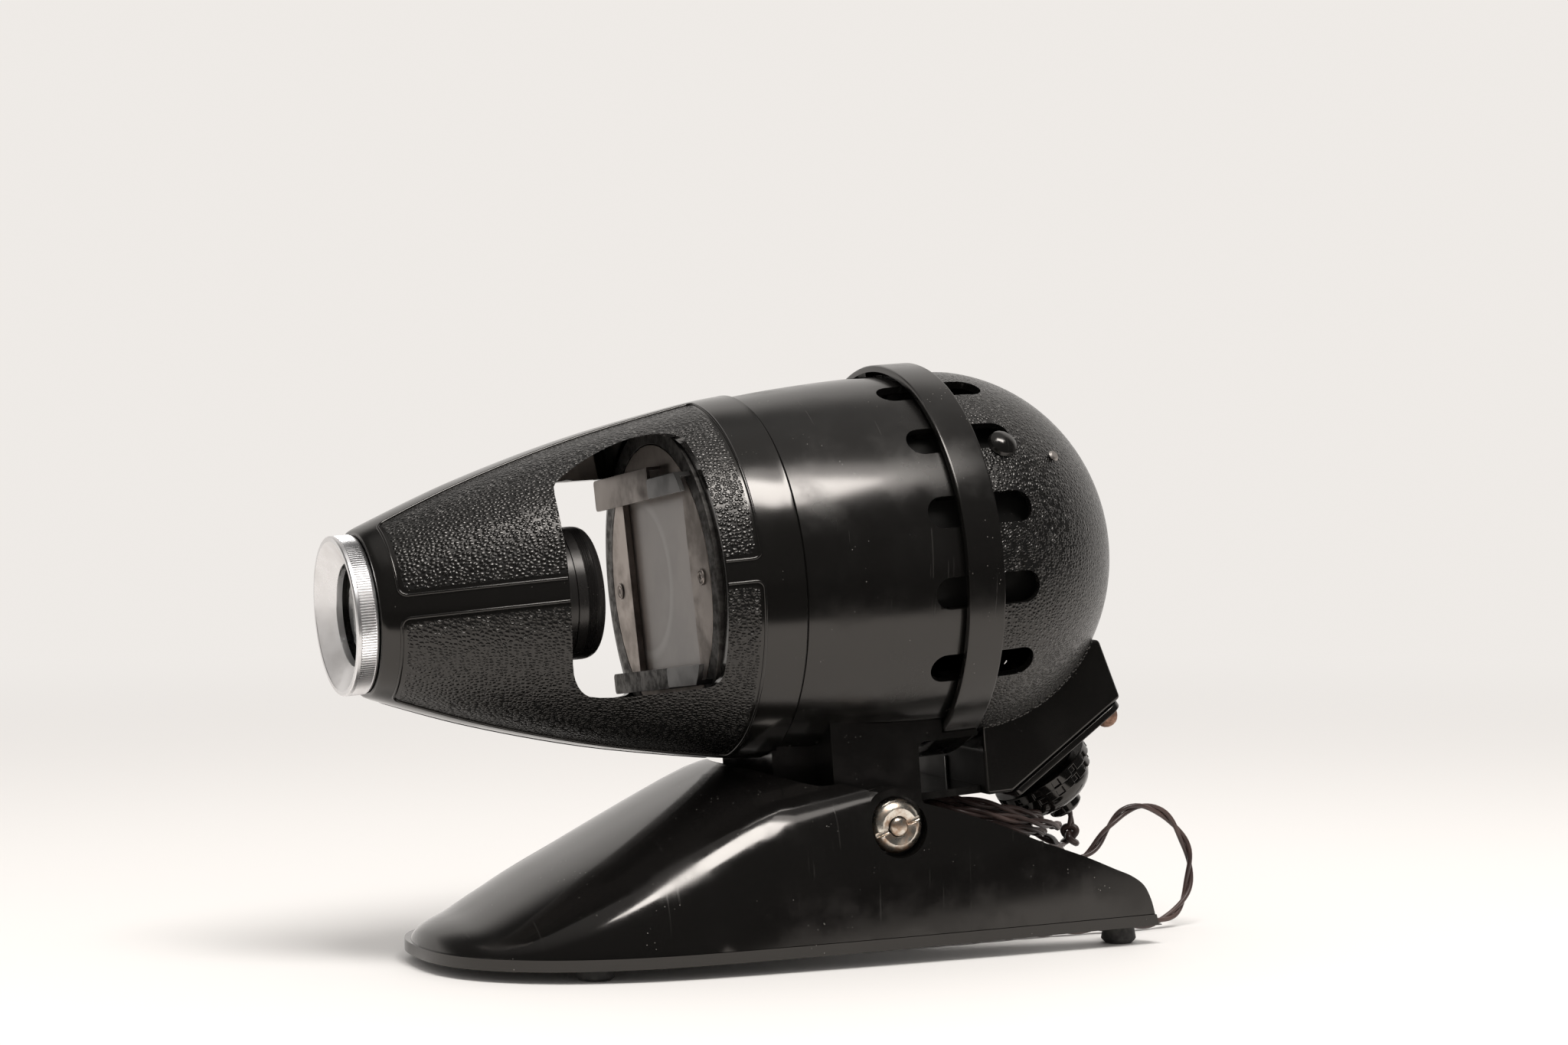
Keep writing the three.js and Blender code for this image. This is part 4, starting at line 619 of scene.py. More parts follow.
# ---------------------------------------------------------------- lead
# The pair's width, one wire's, and the length of one full twist
CORD, WIRE, TWIST = 3.1, 1.62, 27
HANK_CENTRE = (217.6, 0, 37.3)
HANK_SLOPE = math.radians(10.4)
KNOT_AT, LEAN = (254.6, 0, 31.6), 0.4
TAIL_LOOP = [(259.1, -5, 26), (266.3, -5, 34.2), (272.3, -5, 39.6), (279, -5, 41.2), (287.2, -5, 38.5),
             (293.5, -5, 31.7), (296.6, -5.5, 25.3), (297, -6, 18), (295, -7, 10.7), (290, -8.5, 5),
             (282, -10, 2.4)]
FLOOR_RUN = [(270, -12, 1.9), (255, -13, 1.9), (230, -15, 1.9), (195, -20, 1.9), (160, -18, 1.9),
             (135, -8, 2.5)]
PLUG_BACK, PLUG_RADIUS = 112, 14


def line_length(points):
    return sum((b - a).length for a, b in zip(points, points[1:]))


def smooth_line(points, step):
    """A centripetal spline through the points, walked in even steps."""
    points = [Vector(p) for p in points]
    padded = [2 * points[0] - points[1], *points, 2 * points[-1] - points[-2]]
    dense = []
    for k in range(1, len(padded) - 2):
        p0, p1, p2, p3 = padded[k - 1:k + 3]
        t0, t1 = 0.0, max((p1 - p0).length, 1e-9) ** 0.5
        t2 = t1 + max((p2 - p1).length, 1e-9) ** 0.5
        t3 = t2 + max((p3 - p2).length, 1e-9) ** 0.5
        for i in range(16):
            t = t1 + (t2 - t1) * i / 16
            a1 = p0 * ((t1 - t) / (t1 - t0)) + p1 * ((t - t0) / (t1 - t0))
            a2 = p1 * ((t2 - t) / (t2 - t1)) + p2 * ((t - t1) / (t2 - t1))
            a3 = p2 * ((t3 - t) / (t3 - t2)) + p3 * ((t - t2) / (t3 - t2))
            b1 = a1 * ((t2 - t) / (t2 - t0)) + a2 * ((t - t0) / (t2 - t0))
            b2 = a2 * ((t3 - t) / (t3 - t1)) + a3 * ((t - t1) / (t3 - t1))
            dense.append(b1 * ((t2 - t) / (t2 - t1)) + b2 * ((t - t1) / (t2 - t1)))
    dense.append(points[-1])
    return even_steps(dense, step)


def even_steps(dense, step):
    """The same line with its points one step apart."""
    total = line_length(dense)
    count = max(2, round(total / step))
    walked, out, k = 0.0, [dense[0]], 0
    for i in range(1, count):
        goal = total * i / count
        while walked + (dense[k + 1] - dense[k]).length < goal:
            walked += (dense[k + 1] - dense[k]).length
            k += 1
        share = (goal - walked) / (dense[k + 1] - dense[k]).length
        out.append(dense[k].lerp(dense[k + 1], share))
    out.append(dense[-1])
    return out


def frames_along(points):
    """Each point with two directions across the line, carried along without twisting."""
    normal = None
    for k, point in enumerate(points):
        tangent = (points[min(k + 1, len(points) - 1)] - points[max(k - 1, 0)]).normalized()
        if normal is None:
            normal = Vector((0, 0, 1)) if abs(tangent.z) < 0.9 else Vector((0, 1, 0))
        normal = (normal - tangent * normal.dot(tangent)).normalized()
        yield point, normal, tangent.cross(normal)


def tube(points, radius, sides, vertices, faces):
    """Adds a closed round tube along a line to a mesh in the making."""
    start = len(vertices)
    for point, normal, across in frames_along(points):
        for j in range(sides):
            angle = 2 * math.pi * j / sides
            vertices.append(point + radius * (math.cos(angle) * normal + math.sin(angle) * across))
    for k in range(len(points) - 1):
        for j in range(sides):
            a, b = start + k * sides + j, start + k * sides + (j + 1) % sides
            faces.append([a, b, b + sides, a + sides])
    last = start + (len(points) - 1) * sides
    faces.append([start + j for j in range(sides - 1, -1, -1)])
    faces.append([last + j for j in range(sides)])


def twisted_pair(points, pitch, wire, sides=8):
    """Two wires laid round each other along one line."""
    vertices, faces = [], []
    placed = list(frames_along(points))
    walked = 0.0
    strands = ([], [])
    for k, (point, normal, across) in enumerate(placed):
        if k:
            walked += (point - placed[k - 1][0]).length
        for side, strand in zip((1, -1), strands):
            angle = 2 * math.pi * walked / pitch
            strand.append(point + side * 0.5 * wire * (math.cos(angle) * normal + math.sin(angle) * across))
    for strand in strands:
        tube(strand, wire / 2, sides, vertices, faces)
    return vertices, faces


def hank_line():
    """Loops wound in layers, inwards and outwards in turn, that sag and sway a little."""
    loops_per_layer, layers, loop_pitch, layer_pitch = 3, 3, 3.9, 3.9
    outer, half_run, steps, climb = 25, 4.6, 18, 0.25
    place = Matrix.Translation(HANK_CENTRE) @ Matrix.Rotation(HANK_SLOPE, 4, "Y")

    def eased(value):
        share = min(max((value + climb) / (2 * climb), 0), 1)
        return share * share * (3 - 2 * share)

    points = []
    for i in range(loops_per_layer * layers * steps + 1):
        turn = i / steps
        layer = min(int(turn // loops_per_layer), layers - 1)
        within = turn - layer * loops_per_layer
        left = loops_per_layer - within
        inward = left if layer % 2 == 0 else within
        radius = outer - inward * loop_pitch
        level = layer
        if layer > 0 and within < climb:
            level += eased(within) - 1
        if layer < layers - 1 and left < climb:
            level += eased(-left)
        angle = 2 * math.pi * turn
        run = half_run * math.tanh(3 * math.cos(angle))
        loose = min(turn, 1) * min(loops_per_layer * layers - turn, 1)
        lift = loose * (0.4 + 0.5 * layer) * (1 + math.sin(7.9 * turn + 0.6) * math.cos(2.1 * turn))
        sway = loose * 1.7 * math.sin(4.4 * turn + 1.1)
        along = run + (radius + 0.8 * sway) * math.cos(angle) + sway
        height = (level - (layers - 1) / 2) * layer_pitch + 1.6 * lift
        points.append(place @ Vector((along, radius * math.sin(angle), height)))
    return points


def knot_points(unit, steps=72):
    """An overhand knot drawn round its middle."""
    points = []
    for i in range(steps + 1):
        t = 2 * math.pi * i / steps
        knot = Vector((1.6 * math.sin(3 * t), math.sin(t) + 2 * math.sin(2 * t),
                       2 * math.cos(2 * t) - math.cos(t)))
        points.append(Vector(KNOT_AT) + unit * knot)
    return points


def neck_end():
    """Where the lead leaves the lampholder, whose neck stands square on the sloping chute cover."""
    slope, (s, n), neck, aside = math.atan2(26.6, 41.4), (234.5, -63.2), 29.7, 2.7
    s += math.sin(slope) * neck - aside * math.cos(slope)
    n -= math.cos(slope) * neck + aside * math.sin(slope)
    return Vector((s * math.cos(TILT) - n * math.sin(TILT), 0,
                   AXIS_HEIGHT + s * math.sin(TILT) + n * math.cos(TILT)))


def make_lead():
    """The twisted lead: wound under the lamp house, looped behind it and run on the table to its plug."""
    hank = hank_line()
    backwards = (hank[0] - hank[1]).normalized()
    sx, sy, sz = hank[0] + 0.3 * backwards
    straight = hank[0] + (0.3 + CORD / 2) * backwards
    tail = [straight, (sx, sy - 1.4 * CORD, sz - 1.3 * CORD),
            (sx + 0.8 * CORD, sy - 1.8 * CORD, sz - 2.2 * CORD), (sx + 3.5 * CORD, -5, sz - 2.6 * CORD),
            *TAIL_LOOP, *FLOOR_RUN, (PLUG_BACK + 3 * CORD, 0, PLUG_RADIUS - 0.6 * CORD),
            (PLUG_BACK + 1.2 * CORD, 0, PLUG_RADIUS), (PLUG_BACK + 0.6, 0, PLUG_RADIUS)]
    route = smooth_line([tuple(p) for p in reversed(hank)] + tail, 1.3)
    for point in route:
        point.z = max(point.z, WIRE + 0.06)
    vertices, faces = twisted_pair(route, TWIST, WIRE)
    lead = new_piece("twin_lead", vertices, faces, AT_BASE)
    smooth_by_angle(lead, 60, False)
    lead.data.materials.append(FINISH["flex"])
    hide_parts("cord_hank", "cord_tail")
    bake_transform(lead)

    neck = neck_end()
    drop = [neck, neck + Vector((0.6, 0, -2)), Vector(KNOT_AT) + Vector((LEAN, 0, 3.4))]
    vertices, faces = twisted_pair(smooth_line(drop, 1.0), TWIST, WIRE)
    lead_in = new_piece("lead_in", vertices, faces, AT_BASE)
    smooth_by_angle(lead_in, 60, False)
    finish_piece(lead_in, FINISH["flex"], "head", "cord", "cord_lead")
    vertices, faces = [], []
    tube(knot_points(1.1), 1.15, 8, vertices, faces)
    knot = new_piece("lead_knot", vertices, faces, AT_BASE)
    smooth_by_angle(knot, 60, False)
    finish_piece(knot, FINISH["flex"], "head", "cord", "cord_knot")


# ---------------------------------------------------------------- nose
# The shell's outline as (station, radius), and its side window as (station, height)
NOSE_KNOTS = [(7.3, 26.3), (40, 38.3), (78, 49), (117, 56.7), (134.5, 58.9)]
WINDOW = [(62, 2), (62, -23), (65, -31), (71, -34.6), (104, -34.8), (108, -33.5), (109.4, -29),
          (109.4, 40), (107.6, 46.4), (95, 46.6), (80, 41.8), (66.5, 34.6), (63.6, 31)]
FAR_WINDOW_TOP = 37.4
NOSE_FRONT, NOSE_BACK, NOSE_WALL, BUSH = 7.3, 134.5, 3.4, 21.5


def nose_curve(steps=10):
    """A smooth line through the shell's outline points."""

    def blended(a, b, c, d, t):
        return 0.5 * ((2 * b) + (c - a) * t + (2 * a - 5 * b + 4 * c - d) * t * t
                      + (3 * b - a - 3 * c + d) * t ** 3)

    points = []
    for k in range(len(NOSE_KNOTS) - 1):
        p0, p1 = NOSE_KNOTS[max(k - 1, 0)], NOSE_KNOTS[k]
        p2, p3 = NOSE_KNOTS[k + 1], NOSE_KNOTS[min(k + 2, len(NOSE_KNOTS) - 1)]
        for i in range(steps + (k == len(NOSE_KNOTS) - 2)):
            points.append(tuple(blended(*knots, i / steps) for knots in zip(p0, p1, p2, p3)))
    return points


NOSE_LINE = nose_curve()


def nose_radius(station):
    """The shell's radius at a station."""
    for (s0, r0), (s1, r1) in zip(NOSE_LINE, NOSE_LINE[1:]):
        if station <= s1:
            return r0 + (r1 - r0) * (station - s0) / (s1 - s0)
    return NOSE_LINE[-1][1]


# Four leather panels, and half the plain strips between them
PANEL_FRONT, PANEL_BACK, PANEL_CORNER = 13.0, 121.0, 2.6
SIDE_STRIP, TOP_STRIP, BOTTOM_STRIP = 3.5, 11.0, 8.0


def panel_depth(station, angle):
    """Millimetres inside the nearest panel's edge at a station and an angle from the top."""
    radius = nose_radius(station)
    folded = abs((angle + math.pi) % (2 * math.pi) - math.pi)
    if folded < math.pi / 2:
        low, high = folded * radius - TOP_STRIP, (math.pi / 2 - folded) * radius - SIDE_STRIP
    else:
        low, high = (folded - math.pi / 2) * radius - SIDE_STRIP, (math.pi - folded) * radius - BOTTOM_STRIP
    across = min(low, high)
    along = min(station - PANEL_FRONT, PANEL_BACK - station)
    if across < PANEL_CORNER and along < PANEL_CORNER:
        return PANEL_CORNER - math.hypot(PANEL_CORNER - across, PANEL_CORNER - along)
    return min(across, along)


def make_nose():
    """The nose shell; one UV map holds the depth inside the panels, the other lays out their grain."""
    inside = [(s, r - NOSE_WALL) for s, r in NOSE_LINE if s > 12][::-1]
    front = [(NOSE_FRONT, BUSH), (NOSE_FRONT, 25.6), (NOSE_FRONT + 0.3, 26.2)]
    outside = [(s, r) for s, r in NOSE_LINE if s > 8][:-1]
    back = [(NOSE_BACK - 0.4, 58.9), (NOSE_BACK, 58.5), (NOSE_BACK, inside[0][1])]
    bush_end = [(10.7, inside[-1][1]), (10.7, BUSH + 3.6), (46, BUSH + 3.6), (46, BUSH)]
    shell = revolved("nose_moulding", front + outside + back + inside + bush_end, 192)
    panel = shell.data.uv_layers.new(name="panel")
    grain = shell.data.uv_layers.new(name="grain")
    for face in shell.data.polygons:
        turn = abs(math.atan2(face.center.y, face.center.z))
        middle = math.pi * (0.25 if turn < math.pi / 2 else 0.75)
        for index in face.loop_indices:
            x, y, z = shell.data.vertices[shell.data.loops[index].vertex_index].co
            angle = math.atan2(y, z)
            outer = math.hypot(y, z) > nose_radius(x) - 1
            depth = panel_depth(x, angle) if outer else -5
            panel.data[index].uv = (depth * MM, x * MM)
            grain.data[index].uv = ((abs(angle) - middle) * nose_radius(x) * MM, x * MM)
    near_window = rounded_outline(WINDOW)
    far_window = [(s, min(n, FAR_WINDOW_TOP)) for s, n in near_window]
    carve(shell, "DIFFERENCE", prism("window_tool", near_window, -80, 0),
          prism("window_tool", far_window, 0, 80))
    shell.data.transform(AT_NOSE)
    soften_edges(shell, 0.35, 50)
    smooth_by_angle(shell, 40)
    finish_piece(shell, FINISH["nose"], "nose", "grained", "nose_shell")


def panel_edge(strip):
    """One panel's edge as (station, inset, side): the inset counts from the side strip, or else from the
    strip at the top or bottom."""
    corner, length = PANEL_CORNER, PANEL_BACK - PANEL_FRONT - 2 * PANEL_CORNER
    front, back = PANEL_FRONT + corner, PANEL_BACK - corner
    arc = [math.pi / 2 * i / 6 for i in range(7)]

    def width(station):
        return math.pi / 2 * nose_radius(station) - SIDE_STRIP - strip - 2 * corner

    edge = [(front + length * i / 60, 0, True) for i in range(61)]
    edge += [(back + corner * math.sin(a), corner * (1 - math.cos(a)), True) for a in arc[1:]]
    edge += [(PANEL_BACK, corner + width(PANEL_BACK) * i / 40, True) for i in range(1, 40)]
    edge += [(back + corner * math.cos(a), corner * (1 - math.sin(a)), False) for a in arc]
    edge += [(back - length * i / 60, 0, False) for i in range(1, 61)]
    edge += [(front - corner * math.sin(a), corner * (1 - math.cos(a)), False) for a in arc[1:]]
    edge += [(PANEL_FRONT, corner + width(PANEL_FRONT) * i / 20, False) for i in range(1, 20)]
    return edge + [(front - corner * math.cos(a), corner * (1 - math.sin(a)), True) for a in arc[:6]]


def make_beads():
    """The raised line round each leather panel, broken where the window passes."""
    window = rounded_outline(WINDOW)

    def in_window(station, height, far):
        hit = False
        if far and height > FAR_WINDOW_TOP:
            return False
        for (a, b), (c, d) in zip(window, window[1:] + window[:1]):
            if (b > height) != (d > height) and station < a + (height - b) * (c - a) / (d - b):
                hit = not hit
        return hit

    vertices, lines = [], []
    for upper, strip in ((True, TOP_STRIP), (False, BOTTOM_STRIP)):
        for side in (-1, 1):
            edge = []
            for station, inset, from_side in panel_edge(strip):
                radius = nose_radius(station)
                turn = math.pi / 2 - (SIDE_STRIP + inset) / radius if from_side else (strip + inset) / radius
                angle = side * (turn if upper else math.pi - turn)
                edge.append(Vector((station, radius * math.sin(angle), radius * math.cos(angle))))
            run = []
            for point in [*edge, edge[0], None]:
                if point is not None and not in_window(point.x, point.z, point.y > 0):
                    run.append(point)
                    continue
                if len(run) > 3:
                    lines += [(len(vertices) + i, len(vertices) + i + 1) for i in range(len(run) - 1)]
                    vertices += run
                run = []
    beads = new_piece("panel_beads", vertices, [], AT_NOSE, lines)
    grown(beads, BEAD, Radius=0.55 * MM, Sides=8, Material=FINISH["small"])
    turn_outwards(beads)
    smooth_by_angle(beads, 60, False)
    finish_piece(beads, FINISH["small"], "nose", "grained")


# ---------------------------------------------------------------- lamp house
BARREL_FRONT, BARREL_BACK, SEAM = 57.9, 61.3, 193.4
CAP_RADIUS, DOME_AT, DOME_SHARE = 61.6, 203, 0.955
WALL, GAP, SPIGOT_FRONT = 2.5, 0.3, 124.5
SLOT_FROM, SLOT_TO, SLOT_WIDTH = 177.3, 213.6, 10.3
SLOTS, SLOT_STEP = 11, math.radians(24.2)


def slot_tools():
    """The cutters of all vent slots, one stadium prism set round the axis."""
    half = (SLOT_TO - SLOT_FROM - SLOT_WIDTH) / 2
    middle = (SLOT_TO + SLOT_FROM) / 2
    outline = []
    for centre, start in ((middle + half, -90), (middle - half, 90)):
        for i in range(13):
            a = math.radians(start + 15 * i)
            outline.append((centre + SLOT_WIDTH / 2 * math.cos(a), SLOT_WIDTH / 2 * math.sin(a)))
    cutter = prism("slot_tools", outline, CAP_RADIUS - 7.5, CAP_RADIUS + 5, along="z")
    return grown(cutter, ROUND, Count=SLOTS, First_turn=-(SLOTS - 1) / 2 * SLOT_STEP, Turn_step=SLOT_STEP,
                 Material=FINISH["barrel"])


def make_barrel():
    """The slightly swelling barrel, with a spigot that the nose turns on."""
    spigot = nose_radius(SPIGOT_FRONT) - NOSE_WALL - GAP
    front = NOSE_BACK + GAP
    bulge = 0.25 * (BARREL_BACK - BARREL_FRONT)

    def swell(station):
        share = (station - front) / (SEAM - front)
        return BARREL_FRONT + (BARREL_BACK - BARREL_FRONT) * share + bulge * (1 - (2 * share - 1) ** 2)

    stations = [front + (SEAM - front) * i / 24 for i in range(25)]
    outer = [(s, swell(s)) for s in stations]
    inner = [(s, r - WALL) for s, r in outer if s > front + WALL][::-1]
    profile = [(SPIGOT_FRONT, spigot - WALL), (SPIGOT_FRONT, spigot), (front, spigot),
               (front, BARREL_FRONT - 0.4), (front + 0.4, BARREL_FRONT + 0.05), *outer[1:-1],
               (SEAM - 0.3, BARREL_BACK), (SEAM, BARREL_BACK - 0.3), *inner, (front + WALL, spigot - WALL)]
    barrel = revolved("lamp_barrel", profile, 192)
    carve(barrel, "DIFFERENCE", slot_tools())
    barrel.data.transform(AT_HEAD)
    soften_edges(barrel, 0.4, 50)
    smooth_by_angle(barrel, 40)
    finish_piece(barrel, FINISH["barrel"], "head", "bakelite", "lamp_house")


# The chute under the dome seen from the side, its hollow, and half its width
CHUTE = [(204.5, -76.5), (213.8, -76.5), (255.2, -49.9), (248.7, -30), (204.5, -30)]
THROAT = [(207, -74), (214.8, -74), (218.2, -84.5), (259.2, -53.9), (251.2, -45.9), (246.2, -32), (207, -30)]
CHUTE_HALF = 30


def dome_arc(radius, steps):
    """A quarter ellipse from the dome's rim to its pole."""
    return [(DOME_AT + DOME_SHARE * radius * math.sin(math.pi / 2 * i / steps),
             radius * math.cos(math.pi / 2 * i / steps)) for i in range(steps + 1)]


def make_cap():
    """The domed rear cap with its chute, hollow right through."""
    front = SEAM + GAP
    spigot = BARREL_BACK - WALL - 0.5
    outer = revolved("rear_dome", [(183.4, 0), (183.4, spigot), (front, spigot), (front, CAP_RADIUS - 0.3),
                                   (front + 0.3, CAP_RADIUS), *dome_arc(CAP_RADIUS, 40)], 192)
    inner = revolved("dome_tool", [(179, 0), (179, spigot - WALL), (front + WALL, spigot - WALL),
                                   (front + WALL, CAP_RADIUS - WALL), *dome_arc(CAP_RADIUS - WALL, 20)], 96)
    chute = prism("chute_tool", CHUTE, -CHUTE_HALF, CHUTE_HALF)
    soften = chute.modifiers.new("edge", "BEVEL")
    soften.width = 1.2
    soften.segments = 3
    bake_modifiers(chute)
    throat = prism("throat_tool", THROAT, WALL - CHUTE_HALF, CHUTE_HALF - WALL)
    carve(outer, "UNION", chute)
    carve(outer, "DIFFERENCE", inner, throat, slot_tools())
    outer.data.transform(AT_HEAD)
    soften_edges(outer, 0.35, 50)
    smooth_by_angle(outer, 40)
    finish_piece(outer, FINISH["dome"], "head", "grained", "rear_cap")


def make_chute_rib():
    """A thin upright rib in the middle of the chute's front wall."""
    rib = prism("chute_rib", [(203.7, -74.5), (204.7, -74.5), (204.7, -66), (203.7, -66)], -0.5, 0.5)
    rib.data.transform(AT_HEAD)
    soften_edges(rib, 0.25, 50)
    finish_piece(rib, FINISH["small"], "head", "bakelite")


def make_band():
    """The band that stands clear of the vents on small posts."""
    front, back, low, high = 187, 199.7, 62.8, 64.9
    profile = [(front, low), (front, high - 0.8), (front + 0.25, high - 0.25), (front + 0.8, high),
               (back - 0.8, high), (back - 0.25, high - 0.25), (back, high - 0.8), (back, low)]
    band = revolved("vent_band", profile, 192)
    post = [(front + 2, 61.9), (back - 2, 61.9), (back - 2, 63.6), (front + 2, 63.6)]
    posts = grown(prism("band_posts", post, -3, 3), ROUND, Count=SLOTS - 1, Turn_step=SLOT_STEP,
                  First_turn=-(SLOTS - 2) / 2 * SLOT_STEP, Material=FINISH["barrel"])
    carve(band, "UNION", posts)
    band.data.transform(AT_HEAD)
    smooth_by_angle(band, 40)
    finish_piece(band, FINISH["barrel"], "head", "bakelite", "band_ring")


def make_light_shield():
    """A dark sheet sleeve inside the vents, open underneath for the lamp."""
    turns = [math.radians(-118 + 236 * i / 72) for i in range(73)]
    section = [(176, 55.7), (190, 55.7), (194, 53.6), (218, 53.6), (218, 53.1), (193.8, 53.1), (189.8, 55.2),
               (176, 55.2)]
    count = len(section)
    vertices = [(s, r * math.sin(a), r * math.cos(a)) for a in turns for s, r in section]
    faces = [[count * i + j, count * i + k, count * (i + 1) + k, count * (i + 1) + j]
             for i in range(72) for j, k in zip(range(count), [*range(1, count), 0])]
    faces += [list(range(count)), list(range(73 * count - 1, 72 * count - 1, -1))]
    shield = turn_outwards(new_piece("light_shield", vertices, faces, AT_HEAD))
    smooth_by_angle(shield, 40)
    finish_piece(shield, FINISH["black_metal"], "head", "black_metal")


# ---------------------------------------------------------------- lens
def make_lens_ring():
    """The turned focusing ring with its dished face and a band of fine ribs."""
    floor, ribs, top = 24.62, 180, 24.97
    profile = [(0, 23.4), (0, 24.6), (0.35, top), (1.3, top), (1.6, floor), (6, floor), (6.3, top - 0.05),
               (6.9, top - 0.3), (6.9, 16), (5.2, 16), (4.9, 16.15), (0.25, 23.2)]
    ring = revolved("lens_ring_turned", profile, ribs, AT_NOSE)
    smooth_by_angle(ring, 30)
    finish_piece(ring, FINISH["ring"], "lens_barrel", "aluminium", "lens_ring")
    rib = [(x, y, floor + z) for x in (1.5, 6.1) for y, z in ((-0.36, -0.12), (0.36, -0.12), (0, 0.33))]
    sides = [[0, 1, 2], [5, 4, 3], [0, 3, 4, 1], [1, 4, 5, 2], [2, 5, 3, 0]]
    knurl = grown(turn_outwards(new_piece("ring_knurl", rib, sides)), ROUND, Count=ribs, First_turn=0.0,
                  Turn_step=2 * math.pi / ribs, Material=FINISH["ring"])
    knurl.data.transform(AT_NOSE)
    finish_piece(knurl, FINISH["ring"], "lens_barrel", "aluminium")


def make_lens_tube():
    """Satin black tube with thin helix lines and a threaded, rounded rear end."""
    outer, inner = 21.2, 19.4
    profile = [(7.2, inner), (7.2, outer)]
    for at in (50, 53.2, 56.4, 59.6, 62.8, 66, 69.2, 72.4):
        profile += [(at, outer), (at + 0.15, outer - 0.5), (at + 0.4, outer - 0.5), (at + 0.55, outer)]
    for turn in range(5):
        at = 76 + 0.7 * turn
        profile += [(at, outer), (at + 0.35, outer - 0.4)]
    profile += [(79.6, outer - 0.1), (80.6, outer - 0.3), (81.5, outer - 0.8), (82, outer - 1.4), (82, inner)]
    tube_piece = revolved("lens_tube_turned", profile, 128, AT_NOSE)
    smooth_by_angle(tube_piece, 30)
    finish_piece(tube_piece, FINISH["satin"], "lens_barrel", "black_metal", "lens_tube")


def make_stage_screws():
    """Two flat screws, each in a turned ring with a small hole in the middle."""
    for hand, side in (("near", -38), ("far", 38)):
        profile = [(107.5, 0.8), (107.4, 1), (107.4, 1.6), (107.6, 1.7), (107.6, 2), (107.4, 2.1),
                   (107.4, 2.5), (107.7, 2.65), (107.7, 0), (107.65, 0), (107.65, 0.8)]
        place = AT_NOSE @ Matrix.Translation((0, side, 0))
        screw = revolved("stage_screw_" + hand + "_turned", profile, 40, place)
        smooth_by_angle(screw, 40)
        finish_piece(screw, FINISH["plate"], "nose", "steel", "stage_screw_" + hand)


# ---------------------------------------------------------------- base
BASE_FRONT, BASE_REAR, CREST_X, CREST = 26.4, 266, 129, 60.9
WIDEST_X, HALF_WIDTH, REAR_TAPER, BASE_WALL = 100, 57, 15, 4
LIP_FRONT, LIP_REAR, LIP, LIP_OUT = 3.5, 6.5, 3.6, 0.8
TROUGH_X, TROUGH_HALF, TROUGH_DEPTH = 150, 40.5, 21.5
FEET, FOOT_INSET, FOOT_BOSS, FOOT_TOP = (70, 255.8), 10, 5.2, 12
# How far the cutters reach past the base, sideways, upwards and lengthways
ASIDE, ABOVE, PAST = 114, 122, 4
# The spine from the front to the crest, and the cheeks' top edge behind it, as shares of their run
SPINE = [(0, 0), (0.012, 0.045), (0.03, 0.085), (0.07, 0.125), (0.145, 0.175), (0.265, 0.298), (0.375, 0.415),
         (0.527, 0.56), (0.683, 0.712), (0.834, 0.856), (0.931, 0.944), (1, 1)]
CHEEK = [(0, 1.01), (0.05, 0.985), (0.12, 0.965), (0.215, 0.912), (0.357, 0.833), (0.525, 0.725),
         (0.67, 0.597), (0.8, 0.494), (0.88, 0.42)]
CHEEK_CORNER = [(256, 22.9), (260.6, 19.6), (263.3, 14.8), (264.8, 9.9), (265.7, 6.9)]


def smooth_table(table, at):
    """A monotone curve through the table's points."""
    slopes = [(b[1] - a[1]) / (b[0] - a[0]) for a, b in zip(table, table[1:])]
    middle = [0.0 if p * q <= 0 else 2 * p * q / (p + q) for p, q in zip(slopes, slopes[1:])]
    ends = [slopes[0], *middle, slopes[-1]]
    k = 0
    while k < len(slopes) - 1 and at > table[k + 1][0]:
        k += 1
    (x0, y0), (x1, y1) = table[k], table[k + 1]
    h = x1 - x0
    t = min(max((at - x0) / h, 0), 1)
    return (y0 * (1 + 2 * t) * (1 - t) ** 2 + h * ends[k] * t * (1 - t) ** 2
            + y1 * t * t * (3 - 2 * t) - h * ends[k + 1] * t * t * (1 - t))


def base_half_width(x):
    """Half the base's width on the table: a blunt round front and sides that draw in towards the rear."""
    if x < WIDEST_X:
        share = (WIDEST_X - x) / (WIDEST_X - BASE_FRONT)
        return HALF_WIDTH * max(0, 1 - share ** 2.2) ** (1 / 2.5)
    share = (x - WIDEST_X) / (BASE_REAR - WIDEST_X)
    return HALF_WIDTH - REAR_TAPER * share ** 1.4


def lip_height(x):
    return LIP_FRONT + (LIP_REAR - LIP_FRONT) * (x - BASE_FRONT) / (BASE_REAR - BASE_FRONT)


def spine_height(x):
    """The height of the base's middle line, without its cuts."""
    tip = LIP_FRONT + LIP
    if x > CREST_X:
        return CREST + 0.2 * (x - CREST_X)
    share = min(max((x - BASE_FRONT) / (CREST_X - BASE_FRONT), 0), 1)
    return tip + (CREST - tip) * smooth_table(SPINE, share)


def hull_ring(x, inset, floor, sides):
    """One cross-section: a rounded arch whose shoulders grow squarer towards the crest."""
    share = min(max((x - BASE_FRONT) / (CREST_X - BASE_FRONT), 0), 1)
    shoulder, side = 2 + 3.2 * share * share, 2.1 + 0.4 * share
    half = max(base_half_width(x) - inset, 0.05)
    bottom = lip_height(x)
    height = max(spine_height(x) - inset - bottom, 0.05)
    ring = []
    for i in range(sides + 1):
        turn = math.pi * i / sides
        c, s = math.cos(turn), max(math.sin(turn), 0)
        y = math.copysign(abs(c) ** (2 / side), c)
        z = s ** (2 / shoulder)
        ring.append((x, half * y * (1 - 0.06 * z), bottom + height * z))
    return ring + [(x, -half, floor), (x, half, floor)]


